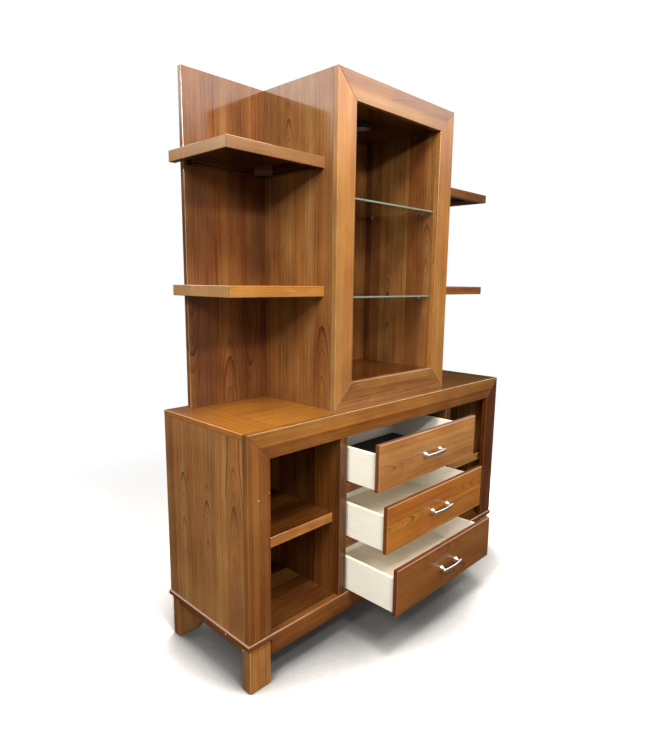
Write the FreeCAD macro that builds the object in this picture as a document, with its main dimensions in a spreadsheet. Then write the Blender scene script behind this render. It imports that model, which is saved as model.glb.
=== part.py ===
import FreeCAD, Part
import os
import re

import Sketcher

# Buffet and hutch in solid and veneered hardwood, in millimetres.
# X runs across the front, Y from front to back and Z up. The origin is on the floor,
# in the middle of the space that the whole piece takes with its drawers as they stand.

SIZES = {
    # Buffet carcase
    "base_width": 1500.0,
    "base_depth": 465.0,
    "base_height": 850.0,
    "base_top_thick": 18.0,
    "base_stile_wide": 88.0,
    "base_rail_wide": 88.0,
    "frame_thick": 22.0,
    "carcase_thick": 35.0,
    "back_thick": 9.0,
    "back_inset": 5.0,
    "divider_inset": 402.0,
    "base_shelf_top": 483.0,
    "base_shelf_setback": 38.0,
    "drawer_rail_deep": 60.0,
    "board_ease": 1.2,
    # Plinth and legs
    "leg_height": 159.0,
    "leg_wide": 83.0,
    "leg_deep": 40.0,
    "leg_inset": 5.5,
    "leg_round": 6.0,
    "leg_foot_chamfer": 4.0,
    "ledge_height": 18.0,
    "ledge_overhang": 7.0,
    "ledge_front_overhang": 3.0,
    "ledge_round": 6.0,
    "ledge_under_round": 4.0,
    "front_apron_drop": 54.0,
    "side_apron_drop": 27.0,
    "side_apron_setback": 8.0,
    "apron_ease": 2.0,
    # Drawers
    "drawer_open_top": 140.0,
    "drawer_open_middle": 182.0,
    "drawer_open_bottom": 231.0,
    "front_gap": 2.5,
    "front_thick": 18.0,
    "front_round": 3.0,
    "box_side_gap": 12.5,
    "box_lift": 6.0,
    "box_height": 126.0,
    "box_length": 400.0,
    "box_wall": 12.0,
    "box_rim_round": 4.0,
    "bottom_thick": 4.0,
    "bottom_rise": 8.0,
    "bottom_groove": 5.0,
    "lining_thick": 2.0,
    "lining_gap": 1.0,
    "running_gap": 0.3,
    "runner_wide": 22.0,
    "runner_steel": 1.5,
    "runner_side_gap": 0.6,
    "runner_front_gap": 4.0,
    "runner_floor_gap": 2.0,
    "glide_radius": 8.0,
    "glide_setback": 42.0,
    # Drawer handles
    "handle_centres": 96.0,
    "handle_length": 122.0,
    "handle_bar_high": 12.0,
    "handle_bar_thick": 5.0,
    "handle_stand": 20.0,
    "handle_bow": 6.0,
    "handle_post": 8.0,
    "handle_foot": 16.0,
    "handle_foot_thick": 11.0,
    "handle_drop": 3.0,
    "handle_ease": 1.2,
    # Hutch case
    "hutch_width": 674.0,
    "hutch_height": 1116.0,
    "hutch_setback": 43.5,
    "hutch_back_inset": 33.0,
    "hutch_stile_wide": 89.0,
    "hutch_top_rail": 87.0,
    "hutch_bottom_rail": 92.0,
    "panel_thick": 18.0,
    "hutch_back_thick": 8.0,
    "lining_step": 3.0,
    # Wings and side shelves
    "wing_inset": 74.0,
    "wing_thick": 20.0,
    "side_shelf_inset": 20.0,
    "side_shelf_setback": 102.0,
    "side_shelf_edge": 35.0,
    "side_shelf_board": 16.0,
    "side_shelf_lipping": 22.0,
    "side_shelf_corner": 2.0,
    "upper_shelf_top": 1697.0,
    "lower_shelf_top": 1278.0,
    "cleat_thick": 18.0,
    "cleat_rise": 1.0,
    "cleat_end_gap": 18.0,
    "corner_block": 64.0,
    # Glass shelves, their pins and the lamp
    "glass_thick": 6.0,
    "glass_side_gap": 1.5,
    "glass_front_gap": 2.0,
    "glass_back_gap": 9.0,
    "glass_upper": 1573.0,
    "glass_lower": 1237.0,
    "glass_ease": 0.8,
    "pin_radius": 2.5,
    "pin_head_radius": 4.0,
    "pin_shank": 8.0,
    "pin_head": 9.0,
    "pin_play": 0.2,
    "pin_hole_radius": 2.7,
    "pin_hole_deep": 10.0,
    "pin_front": 74.5,
    "pin_back": 43.0,
    "lamp_radius": 45.0,
    "lamp_height": 12.0,
    "lamp_rim": 6.0,
    "lamp_recess": 4.0,
    "lamp_round": 2.0,
    "lens_play": 0.3,
    "lens_thick": 3.0,
}

# Places and sizes that follow from the ones above
PLACES = {
    "handle_reach": "handle_stand + handle_bow + handle_bar_thick",
    "front_y": "(drawer_open_bottom + handle_reach - base_depth) / 2",
    "behind_frame_y": "front_y + frame_thick",
    "back_y": "front_y + base_depth",
    "back_panel_y": "back_y - back_inset - back_thick",
    "floor_top": "leg_height + ledge_height",
    "rail_under": "base_height - base_rail_wide",
    "top_under": "base_height - base_top_thick",
    "plinth_thick": "frame_thick + ledge_front_overhang",
    "plinth_length": "base_width + 2 * ledge_overhang",
    "leg_end": "leg_inset + leg_wide",
    "bay_width": "base_width - 2 * divider_inset - 2 * carcase_thick",
    "opening_height": "(rail_under - floor_top - 2 * carcase_thick) / 3",
    "drawer_pitch": "opening_height + carcase_thick",
    "front_height": "opening_height - 2 * front_gap",
    "front_width": "bay_width - 2 * front_gap",
    "box_width": "bay_width - 2 * box_side_gap",
    "box_inside": "box_width - 2 * box_wall",
    "bottom_top": "bottom_rise + bottom_thick",
    "runner_height": "box_lift + bottom_rise - runner_steel - running_gap",
    "runner_start": "front_thick + box_wall + runner_front_gap",
    "track_wide": "runner_wide + 2 * runner_side_gap + 2 * runner_steel",
    "handle_radius": "(handle_length * handle_length / 4 + handle_bow * handle_bow) / 2 / handle_bow",
    "hutch_inset": "(base_width - hutch_width) / 2",
    "hutch_front_y": "front_y + hutch_setback",
    "hutch_inside_y": "hutch_front_y + frame_thick",
    "hutch_back_y": "back_y - hutch_back_inset",
    "hutch_depth": "base_depth - hutch_setback - hutch_back_inset",
    "hutch_back_panel_y": "hutch_back_y - hutch_back_thick",
    "hutch_inside_deep": "hutch_back_panel_y - hutch_inside_y",
    "wing_y": "hutch_back_y - wing_thick",
    "total_height": "base_height + hutch_height",
    "wall_inside": "hutch_inset + hutch_stile_wide - lining_step",
    "hutch_inside_wide": "base_width - 2 * wall_inside",
    "ceiling_under": "total_height - hutch_top_rail + lining_step",
    "hutch_floor_top": "base_height + hutch_bottom_rail",
    "side_shelf_length": "hutch_inset - side_shelf_inset",
    "side_shelf_y": "front_y + side_shelf_setback",
    "side_shelf_deep": "wing_y - side_shelf_y",
    "shelf_recess": "side_shelf_edge - side_shelf_board",
    "cleat_high": "shelf_recess - cleat_rise",
    "wing_cleat_start": "wing_inset + cleat_end_gap",
    "lamp_y": "(hutch_inside_y + hutch_back_panel_y) / 2",
    "lens_radius": "lamp_radius - lamp_rim - lens_play",
}

HANDS = ("left", "right")
NEAR = 1e-6
HALF_TURN = 180
FOOT_TAPER = 10
WORD = re.compile(r"[a-z][a-z_]*")
FACES = {
    "L": ("XMin", "x"),
    "R": ("XMax", "x"),
    "F": ("YMin", "y"),
    "B": ("YMax", "y"),
    "D": ("ZMin", "z"),
    "U": ("ZMax", "z"),
}

doc = FreeCAD.newDocument("buffet_and_hutch")
sheet = doc.addObject("Spreadsheet::Sheet", "Sizes")
for row, (size_name, size_value) in enumerate(SIZES.items(), start=1):
    sheet.set(f"A{row}", size_name)
    sheet.set(f"B{row}", str(size_value))
    sheet.setAlias(f"B{row}", size_name)
doc.recompute()
nodes = []


# Formulas, placing and finishing

def formula(text):
    """The sheet expression of a formula written in the names of SIZES and PLACES."""
    def spelled(match):
        word = match.group(0)
        if word in PLACES:
            return "(" + formula(PLACES[word]) + ")"
        return "Sizes." + word if word in SIZES else word
    return WORD.sub(spelled, text)


def value(text):
    """The number that a formula gives now."""
    return float(sheet.evalExpression(formula(text)))


def bind(item, setting, text):
    item.setExpression(setting, formula(text))


def place(item, low):
    """Puts an object's own origin at three formulas."""
    for axis, text in zip("xyz", low):
        bind(item, "Placement.Base." + axis, text)


def new_body(name, low):
    body = doc.addObject("PartDesign::Body", name)
    body.Label = name
    place(body, low)
    return body


def keep(item):
    """Lists an object as one of the pieces that the furniture comes apart into."""
    nodes.append(item)
    return item


def group(name, pieces):
    """One node of several like pieces."""
    together = doc.addObject("Part::Compound", name)
    together.Label = name
    together.Links = pieces
    return keep(together)


def across(hand, inset, width):
    """Low X of a piece that stands a distance in from the left or right end."""
    if hand == "left":
        return f"{inset} - base_width / 2"
    return f"base_width / 2 - ({inset}) - ({width})"


def outer_and_inner(hand, width):
    """X of a piece's outer and inner edges, from its own left edge."""
    return ("0", width) if hand == "left" else (width, "0")


def blank(body, size, low=None):
    """A rectangular board in a body."""
    box = body.newObject("PartDesign::AdditiveBox", body.Name + "_board")
    for setting, text in zip(("Length", "Width", "Height"), size):
        bind(box, setting, text)
    if low:
        place(box, low)
    return box


def edges_on(shape, codes):
    """Names of the edges on every face of a code: FU is front top, D the whole underside."""
    names = []
    for number, edge in enumerate(shape.Edges, start=1):
        spots = [vertex.Point for vertex in edge.Vertexes]
        for code in codes:
            limits = [(getattr(shape.BoundBox, FACES[letter][0]), FACES[letter][1]) for letter in code]
            if all(abs(getattr(spot, axis) - limit) < NEAR for spot in spots for limit, axis in limits):
                names.append(f"Edge{number}")
                break
    return names


def finish_edges(body, codes, size, kind="Chamfer"):
    """Chamfers or rounds the edges that the codes name."""
    doc.recompute()
    base = body.Tip
    finished = body.newObject("PartDesign::" + kind, body.Name + "_" + kind.lower())
    finished.Base = (base, edges_on(base.Shape, codes))
    bind(finished, "Size" if kind == "Chamfer" else "Radius", size)
    return finished


def board(name, low, size, codes=()):
    """A plain board with eased edges."""
    body = new_body(name, low)
    blank(body, size)
    if codes:
        finish_edges(body, codes, "board_ease")
    return body


def origin_plane(body, role):
    return next(item for item in body.Origin.OriginFeatures if item.Role == role)


def new_sketch(body, role, name):
    sketch = body.newObject("Sketcher::SketchObject", body.Name + "_" + name)
    sketch.AttachmentSupport = (origin_plane(body, role), "")
    sketch.MapMode = "FlatFace"
    return sketch


def pin_point(sketch, geometry, end, spot):
    """Fixes one end of a line or arc at two formulas, from the sketch's origin."""
    for kind, text, zero_line in zip(("DistanceX", "DistanceY"), spot, (-2, -1)):
        if text == "0":
            sketch.addConstraint(Sketcher.Constraint("PointOnObject", geometry, end, zero_line))
            continue
        fixed = Sketcher.Constraint(kind, -1, 1, geometry, end, value(text))
        number = sketch.addConstraint(fixed)
        bind(sketch, f"Constraints[{number}]", text)


def draw_outline(sketch, corners):
    """Adds a closed outline of straight lines through corners given as formulas."""
    spots = [FreeCAD.Vector(value(x), value(y), 0) for x, y in corners]
    first = sketch.GeometryCount
    count = len(spots)
    for number in range(count):
        sketch.addGeometry(Part.LineSegment(spots[number], spots[(number + 1) % count]), False)
    for number in range(count):
        after = first + (number + 1) % count
        sketch.addConstraint(Sketcher.Constraint("Coincident", first + number, 2, after, 1))
        pin_point(sketch, first + number, 1, corners[number])


def oblong(x, y, width, height):
    """Corners of a rectangle from its low corner and its size."""
    right = f"{x} + {width}" if x != "0" else width
    top = f"{y} + {height}" if y != "0" else height
    return [(x, y), (right, y), (right, top), (x, top)]


def pad(body, sketch, length, backwards=False):
    feature = body.newObject("PartDesign::Pad", sketch.Name + "_pad")
    feature.Profile = sketch
    bind(feature, "Length", length)
    feature.Reversed = backwards
    return feature


def pocket(body, sketch, length, backwards=False):
    """Cuts a sketch into a body, and stops if nothing came away."""
    doc.recompute()
    before = body.Tip.Shape.Volume
    feature = body.newObject("PartDesign::Pocket", sketch.Name + "_pocket")
    feature.Profile = sketch
    bind(feature, "Length", length)
    feature.Reversed = backwards
    doc.recompute()
    if before - feature.Shape.Volume < NEAR:
        raise RuntimeError(f"{feature.Name} cuts nothing")
    return feature


# Front frames: flat members mitred at the corners, standing upright in XZ

def frame_member(name, low, corners):
    body = new_body(name, low)
    face = new_sketch(body, "XZ_Plane", "face")
    draw_outline(face, corners)
    pad(body, face, "frame_thick", backwards=True)
    finish_edges(body, ("F",), "board_ease")
    return keep(body)


# The buffet's stiles stand on the ledge and mitre into the rail only at the top
stile_high = "(base_height - floor_top)"
for hand in HANDS:
    outer, inner = outer_and_inner(hand, "base_stile_wide")
    frame_member(
        f"base_stile_{hand}",
        (across(hand, "0", "base_stile_wide"), "front_y", "floor_top"),
        [(outer, "0"), (inner, "0"), (inner, "rail_under - floor_top"), (outer, stile_high)],
    )

frame_member(
    "base_rail_top",
    ("0 - base_width / 2", "front_y", "rail_under"),
    [
        ("base_stile_wide", "0"),
        ("base_width - base_stile_wide", "0"),
        ("base_width", "base_rail_wide"),
        ("0", "base_rail_wide"),
    ],
)

# The hutch's four members mitre from outer to inner corner
for hand in HANDS:
    outer, inner = outer_and_inner(hand, "hutch_stile_wide")
    frame_member(
        f"hutch_stile_{hand}",
        (across(hand, "hutch_inset", "hutch_stile_wide"), "hutch_front_y", "base_height"),
        [
            (outer, "0"),
            (inner, "hutch_bottom_rail"),
            (inner, "hutch_height - hutch_top_rail"),
            (outer, "hutch_height"),
        ],
    )

frame_member(
    "hutch_rail_bottom",
    (across("left", "hutch_inset", "0"), "hutch_front_y", "base_height"),
    [
        ("0", "0"),
        ("hutch_width", "0"),
        ("hutch_width - hutch_stile_wide", "hutch_bottom_rail"),
        ("hutch_stile_wide", "hutch_bottom_rail"),
    ],
)
frame_member(
    "hutch_rail_top",
    (across("left", "hutch_inset", "0"), "hutch_front_y", "total_height - hutch_top_rail"),
    [
        ("hutch_stile_wide", "0"),
        ("hutch_width - hutch_stile_wide", "0"),
        ("hutch_width", "hutch_top_rail"),
        ("0", "hutch_top_rail"),
    ],
)


# Buffet carcase: thick panels between the frame and the back

keep(board(
    "base_top",
    ("0 - base_width / 2", "behind_frame_y", "top_under"),
    ("base_width", "base_depth - frame_thick", "base_top_thick"),
    ("LU", "RU", "BU"),
))
keep(board(
    "base_floor",
    ("plinth_thick - plinth_length / 2", "behind_frame_y", "leg_height"),
    ("plinth_length - 2 * plinth_thick", "base_depth - frame_thick", "ledge_height"),
))
keep(board(
    "base_back",
    ("carcase_thick - base_width / 2", "back_panel_y", "floor_top"),
    ("base_width - 2 * carcase_thick", "back_thick", "top_under - floor_top"),
))
for hand in HANDS:
    keep(board(
        f"base_side_{hand}",
        (across(hand, "0", "carcase_thick"), "behind_frame_y", "floor_top"),
        ("carcase_thick", "base_depth - frame_thick", "top_under - floor_top"),
        ("LB", "RB"),
    ))
    keep(board(
        f"base_shelf_{hand}",
        (
            across(hand, "carcase_thick", "divider_inset - carcase_thick"),
            "front_y + base_shelf_setback",
            "base_shelf_top - carcase_thick",
        ),
        (
            "divider_inset - carcase_thick",
            "back_panel_y - front_y - base_shelf_setback",
            "carcase_thick",
        ),
        ("FU", "FD"),
    ))

# The dividers reach the front under the rail and are notched behind it
for hand in HANDS:
    divider = new_body(
        f"base_divider_{hand}",
        (across(hand, "divider_inset", "carcase_thick"), "front_y", "floor_top"),
    )
    side_view = new_sketch(divider, "YZ_Plane", "side_view")
    deep = "back_panel_y - front_y"
    draw_outline(side_view, [
        ("0", "0"),
        (deep, "0"),
        (deep, "top_under - floor_top"),
        ("frame_thick", "top_under - floor_top"),
        ("frame_thick", "rail_under - floor_top"),
        ("0", "rail_under - floor_top"),
    ])
    pad(divider, side_view, "carcase_thick")
    finish_edges(divider, ("LF", "RF"), "board_ease")
    keep(divider)

group("drawer_rails", [
    board(
        f"drawer_rail_{place_name}",
        (
            "0 - bay_width / 2",
            "front_y",
            f"floor_top + {number} * drawer_pitch - carcase_thick",
        ),
        ("bay_width", "drawer_rail_deep", "carcase_thick"),
        ("FU", "FD"),
    )
    for number, place_name in ((1, "lower"), (2, "upper"))
])


# Plinth: a rounded ledge round three sides, mitred at the front corners

def mitre_cut(body, corners_list):
    """Cuts triangles, drawn from above, down through the whole height of a body."""
    plan = new_sketch(body, "XY_Plane", "mitre")
    for corners in corners_list:
        draw_outline(plan, corners)
    pocket(body, plan, "front_apron_drop + ledge_height", backwards=True)


plinth = new_body(
    "plinth_front",
    ("0 - plinth_length / 2", "front_y - ledge_front_overhang", "leg_height - front_apron_drop"),
)
section = new_sketch(plinth, "YZ_Plane", "section")
draw_outline(section, oblong("0", "0", "plinth_thick", "front_apron_drop + ledge_height"))
pad(plinth, section, "plinth_length")
notches = new_sketch(plinth, "XZ_Plane", "leg_notches")
notch_wide = "leg_end + ledge_overhang"
draw_outline(notches, oblong("0", "0", notch_wide, "front_apron_drop"))
draw_outline(notches, oblong(f"plinth_length - ({notch_wide})", "0", notch_wide, "front_apron_drop"))
pocket(plinth, notches, "plinth_thick")
finish_edges(plinth, ("FU",), "ledge_round", "Fillet")
finish_edges(plinth, ("FD",), "apron_ease")
mitre_cut(plinth, [
    [("0", "0"), ("plinth_thick", "plinth_thick"), ("0", "plinth_thick")],
    [
        ("plinth_length", "0"),
        ("plinth_length", "plinth_thick"),
        ("plinth_length - plinth_thick", "plinth_thick"),
    ],
])
keep(plinth)

ledge_run = "base_depth + ledge_front_overhang"
for hand in HANDS:
    plinth = new_body(
        f"plinth_{hand}",
        (
            across(hand, "0 - ledge_overhang", "plinth_thick"),
            "front_y - ledge_front_overhang",
            "leg_height",
        ),
    )
    blank(plinth, ("plinth_thick", ledge_run, "ledge_height"))
    outside = "L" if hand == "left" else "R"
    finish_edges(plinth, (outside + "U",), "ledge_round", "Fillet")
    finish_edges(plinth, (outside + "D",), "ledge_under_round", "Fillet")
    outer, inner = outer_and_inner(hand, "plinth_thick")
    mitre_cut(plinth, [[(outer, "0"), (inner, "0"), (inner, "plinth_thick")]])
    blank(
        plinth,
        (
            "plinth_thick - ledge_overhang - side_apron_setback",
            "base_depth - leg_inset - 2 * leg_deep",
            "side_apron_drop",
        ),
        (
            "ledge_overhang + side_apron_setback" if hand == "left" else "0",
            "ledge_front_overhang + leg_inset + leg_deep",
            "0 - side_apron_drop",
        ),
    )
    keep(plinth)

for hand in HANDS:
    for end in ("front", "back"):
        leg_y = "front_y + leg_inset" if end == "front" else "back_y - leg_deep"
        leg = new_body(f"leg_{end}_{hand}", (across(hand, "leg_inset", "leg_wide"), leg_y, "0"))
        blank(leg, ("leg_wide", "leg_deep", "leg_height"))
        outside = "L" if hand == "left" else "R"
        outer_corner = outside + ("F" if end == "front" else "B")
        finish_edges(leg, (outer_corner,), "leg_round", "Fillet")
        finish_edges(leg, ("D",), "leg_foot_chamfer")
        keep(leg)


# Drawer running gear on the buffet: a steel centre runner and two glides per drawer

def opening_floor(number):
    return f"floor_top + {number} * drawer_pitch"


runners = []
glides = []
for number in range(3):
    runner = new_body(
        f"centre_runner_{number + 1}",
        ("0 - runner_wide / 2", "front_y + runner_start", opening_floor(number)),
    )
    profile = new_sketch(runner, "XZ_Plane", "profile")
    draw_outline(profile, [
        ("0", "0"),
        ("runner_steel", "0"),
        ("runner_steel", "runner_height - runner_steel"),
        ("runner_wide - runner_steel", "runner_height - runner_steel"),
        ("runner_wide - runner_steel", "0"),
        ("runner_wide", "0"),
        ("runner_wide", "runner_height"),
        ("0", "runner_height"),
    ])
    pad(runner, profile, "back_panel_y - front_y - runner_start", backwards=True)
    runners.append(runner)
    for hand, sign in zip(HANDS, "-+"):
        glide = doc.addObject("Part::Cylinder", f"glide_{number + 1}_{hand}")
        bind(glide, "Radius", "glide_radius")
        bind(glide, "Height", "box_lift - running_gap")
        place(glide, (
            f"0 {sign} (box_width - box_wall) / 2",
            "front_y + glide_setback",
            opening_floor(number),
        ))
        glides.append(glide)
group("centre_runners", runners)
group("rail_glides", glides)


# Drawers

def drawer_handle(name, front_face_y, middle_z):
    """A bow handle: a flat bar, arched outwards, on two square posts with tapered feet."""
    body = new_body(name, (
        "0 - handle_length / 2",
        f"{front_face_y} - handle_reach",
        f"{middle_z} - handle_bar_high / 2",
    ))
    plan = new_sketch(body, "XY_Plane", "bar")
    half = value("handle_length") / 2
    radius = value("handle_radius")
    bow = value("handle_bow")
    swing = FreeCAD.Vector(half, radius - bow, 0)
    reach = FreeCAD.Vector(0, 0, 1)
    ends = []
    for depth in ("0", "handle_bar_thick"):
        centre = FreeCAD.Vector(half, radius + value(depth), 0)
        circle = Part.Circle(centre, reach, radius)
        start = circle.parameter(FreeCAD.Vector(0, bow + value(depth), 0))
        finish = circle.parameter(FreeCAD.Vector(2 * half, bow + value(depth), 0))
        ends.append(plan.addGeometry(Part.ArcOfCircle(circle, start, finish), False))
    outer, inner = ends
    corner = [
        FreeCAD.Vector(x, y, 0)
        for x in (0, 2 * half)
        for y in (bow, bow + value("handle_bar_thick"))
    ]
    left_end = plan.addGeometry(Part.LineSegment(corner[1], corner[0]), False)
    right_end = plan.addGeometry(Part.LineSegment(corner[2], corner[3]), False)
    for first, first_end, second, second_end in (
        (left_end, 2, outer, 1),
        (outer, 2, right_end, 1),
        (right_end, 2, inner, 2),
        (inner, 1, left_end, 1),
    ):
        plan.addConstraint(Sketcher.Constraint("Coincident", first, first_end, second, second_end))
    pin_point(plan, left_end, 2, ("0", "handle_bow"))
    pin_point(plan, right_end, 1, ("handle_length", "handle_bow"))
    pin_point(plan, left_end, 1, ("0", "handle_bow + handle_bar_thick"))
    pin_point(plan, right_end, 2, ("handle_length", "handle_bow + handle_bar_thick"))
    for arc in ends:
        number = plan.addConstraint(Sketcher.Constraint("Radius", arc, radius))
        bind(plan, f"Constraints[{number}]", "handle_radius")
    pad(body, plan, "handle_bar_high")
    finish_edges(body, ("U", "D"), "handle_ease")
    for label, side, length in (
        ("posts", "handle_post", "handle_stand + handle_bar_thick / 2"),
        ("feet", "handle_foot", "handle_foot_thick"),
    ):
        squares = new_sketch(body, "XZ_Plane", label)
        bind(squares, "AttachmentOffset.Base.z", "0 - handle_reach")
        for sign in "-+":
            middle_x = f"handle_length / 2 {sign} handle_centres / 2"
            low_z = f"(handle_bar_high - {side}) / 2"
            draw_outline(squares, oblong(f"{middle_x} - {side} / 2", low_z, side, side))
        raised = pad(body, squares, length)
        if label == "feet":
            raised.TaperAngle = 0 - FOOT_TAPER
    return keep(body)


def drawer(name, number, opened):
    """A drawer whose front stands proud of the frame by the distance it is open."""
    face_y = f"front_y - {opened}"
    box_y = f"{face_y} + front_thick"
    bottom_z = f"{opening_floor(number)} + box_lift"
    label = f"drawer_{name}"
    front = board(
        f"{label}_front",
        ("0 - front_width / 2", face_y, f"{opening_floor(number)} + front_gap"),
        ("front_width", "front_thick", "front_height"),
    )
    finish_edges(front, ("F",), "front_round", "Fillet")
    finish_edges(front, ("B",), "board_ease")
    keep(front)
    walls = []
    for hand in HANDS:
        wall = new_body(f"{label}_wall_{hand}", (
            "0 - box_width / 2" if hand == "left" else "box_width / 2 - box_wall",
            box_y,
            bottom_z,
        ))
        section = new_sketch(wall, "XZ_Plane", "section")
        outer, inner = outer_and_inner(hand, "box_wall")
        groove = "box_wall - bottom_groove" if hand == "left" else "bottom_groove"
        draw_outline(section, [
            (outer, "0"),
            (inner, "0"),
            (inner, "bottom_rise"),
            (groove, "bottom_rise"),
            (groove, "bottom_top"),
            (inner, "bottom_top"),
            (inner, "box_height"),
            (outer, "box_height"),
        ])
        pad(wall, section, "box_length", backwards=True)
        finish_edges(wall, ("LU", "RU"), "box_rim_round", "Fillet")
        walls.append(wall)
    inside_x = "0 - box_inside / 2"
    sub_front = new_body(f"{label}_wall_front", (inside_x, box_y, bottom_z))
    blank(sub_front, ("box_inside", "box_wall", "box_height"))
    finish_edges(sub_front, ("BU",), "box_rim_round", "Fillet")
    wall_back = new_body(f"{label}_wall_back", (
        inside_x,
        f"{box_y} + box_length - box_wall",
        f"{bottom_z} + bottom_top",
    ))
    blank(wall_back, ("box_inside", "box_wall", "box_height - bottom_top"))
    finish_edges(wall_back, ("FU", "BU"), "box_rim_round", "Fillet")
    group(f"{label}_walls", walls + [sub_front, wall_back])
    keep(board(
        f"{label}_bottom",
        (
            "0 - box_inside / 2 - bottom_groove",
            f"{box_y} + box_wall",
            f"{bottom_z} + bottom_rise",
        ),
        ("box_inside + 2 * bottom_groove", "box_length - box_wall", "bottom_thick"),
    ))
    track = new_body(f"{label}_track", (
        "0 - track_wide / 2",
        f"{box_y} + box_wall",
        f"{opening_floor(number)} + runner_floor_gap",
    ))
    profile = new_sketch(track, "XZ_Plane", "profile")
    high = "box_lift + bottom_rise - runner_floor_gap"
    draw_outline(profile, [
        ("0", "0"),
        ("runner_steel", "0"),
        ("runner_steel", f"{high} - runner_steel"),
        ("track_wide - runner_steel", f"{high} - runner_steel"),
        ("track_wide - runner_steel", "0"),
        ("track_wide", "0"),
        ("track_wide", high),
        ("0", high),
    ])
    pad(track, profile, "box_length - box_wall", backwards=True)
    keep(track)
    drawer_handle(
        f"{label}_handle",
        face_y,
        f"{opening_floor(number)} + front_gap + front_height / 2 - handle_drop",
    )


drawer("bottom", 0, "drawer_open_bottom")
drawer("middle", 1, "drawer_open_middle")
drawer("top", 2, "drawer_open_top")

# Only the top drawer has a soft lining on its bottom
keep(board(
    "drawer_top_lining",
    (
        "lining_gap - box_inside / 2",
        "front_y - drawer_open_top + front_thick + box_wall + lining_gap",
        f"{opening_floor(2)} + box_lift + bottom_top",
    ),
    ("box_inside - 2 * lining_gap", "box_length - 2 * box_wall - 2 * lining_gap", "lining_thick"),
))


# Hutch case: outer sides, inner linings, top, ceiling, floor and back

for hand in HANDS:
    keep(board(
        f"hutch_side_{hand}",
        (across(hand, "hutch_inset", "panel_thick"), "hutch_inside_y", "base_height"),
        ("panel_thick", "hutch_depth - frame_thick", "hutch_height"),
        ("LB", "RB"),
    ))

linings = []
for hand in HANDS:
    lining = new_body(
        f"hutch_lining_{hand}",
        (across(hand, "wall_inside - panel_thick", "panel_thick"), "hutch_inside_y", "base_height"),
    )
    high = "total_height - panel_thick - base_height"
    blank(lining, ("panel_thick", "hutch_inside_deep", high))
    for column, from_front in (
        ("front", "pin_front - frame_thick"),
        ("back", "hutch_inside_deep - pin_back"),
    ):
        column_of_holes = new_sketch(lining, "YZ_Plane", f"holes_{column}")
        offset = "panel_thick - pin_hole_deep" if hand == "left" else "pin_hole_deep"
        bind(column_of_holes, "AttachmentOffset.Base.z", offset)
        for shelf in ("upper", "lower"):
            spot = (from_front, f"glass_{shelf} - pin_play - pin_head_radius - base_height")
            middle = FreeCAD.Vector(value(spot[0]), value(spot[1]), 0)
            circle = Part.Circle(middle, FreeCAD.Vector(0, 0, 1), value("pin_hole_radius"))
            ring = column_of_holes.addGeometry(circle, False)
            pin_point(column_of_holes, ring, 3, spot)
            number = column_of_holes.addConstraint(
                Sketcher.Constraint("Radius", ring, value("pin_hole_radius"))
            )
            bind(column_of_holes, f"Constraints[{number}]", "pin_hole_radius")
        pocket(lining, column_of_holes, "pin_hole_deep", backwards=(hand == "left"))
    linings.append(lining)
group("hutch_linings", linings)

inside_left = across("left", "wall_inside", "0")
for name, low_z in (
    ("hutch_ceiling", "ceiling_under"),
    ("hutch_floor", "hutch_floor_top - panel_thick"),
):
    keep(board(
        name,
        (inside_left, "hutch_inside_y", low_z),
        ("hutch_inside_wide", "hutch_inside_deep", "panel_thick"),
    ))
between_sides = "hutch_width - 2 * panel_thick"
keep(board(
    "hutch_top",
    (across("left", "hutch_inset + panel_thick", "0"), "hutch_inside_y", "total_height - panel_thick"),
    (between_sides, "hutch_inside_deep", "panel_thick"),
))
keep(board(
    "hutch_back",
    (across("left", "hutch_inset + panel_thick", "0"), "hutch_back_panel_y", "base_height"),
    (between_sides, "hutch_back_thick", "hutch_height"),
))


# Wings: flat boards beside the case, in line with its back

for hand in HANDS:
    outside = "L" if hand == "left" else "R"
    keep(board(
        f"wing_{hand}",
        (across(hand, "wing_inset", "hutch_inset - wing_inset"), "wing_y", "base_height"),
        ("hutch_inset - wing_inset", "wing_thick", "hutch_height"),
        (outside + "F", outside + "B", "FU", "BU", outside + "U"),
    ))


# Side shelves: boards with deep lippings, hollow below, on cleats and corner blocks

def side_shelf(level, hand):
    top_z = f"{level}_shelf_top"
    body = new_body(f"side_shelf_{level}_{hand}", (
        across(hand, "side_shelf_inset", "side_shelf_length"),
        "side_shelf_y",
        f"{top_z} - side_shelf_edge",
    ))
    blank(body, ("side_shelf_length", "side_shelf_deep", "side_shelf_edge"))
    outside = "L" if hand == "left" else "R"
    finish_edges(body, (outside + "F", outside + "B"), "side_shelf_corner", "Fillet")
    finish_edges(body, ("U", "D"), "board_ease")
    hollow = new_sketch(body, "XY_Plane", "hollow")
    start = "side_shelf_lipping" if hand == "left" else "0"
    draw_outline(hollow, oblong(
        start,
        "side_shelf_lipping",
        "side_shelf_length - side_shelf_lipping",
        "side_shelf_deep - side_shelf_lipping",
    ))
    pocket(body, hollow, "shelf_recess", backwards=True)
    keep(body)


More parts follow.
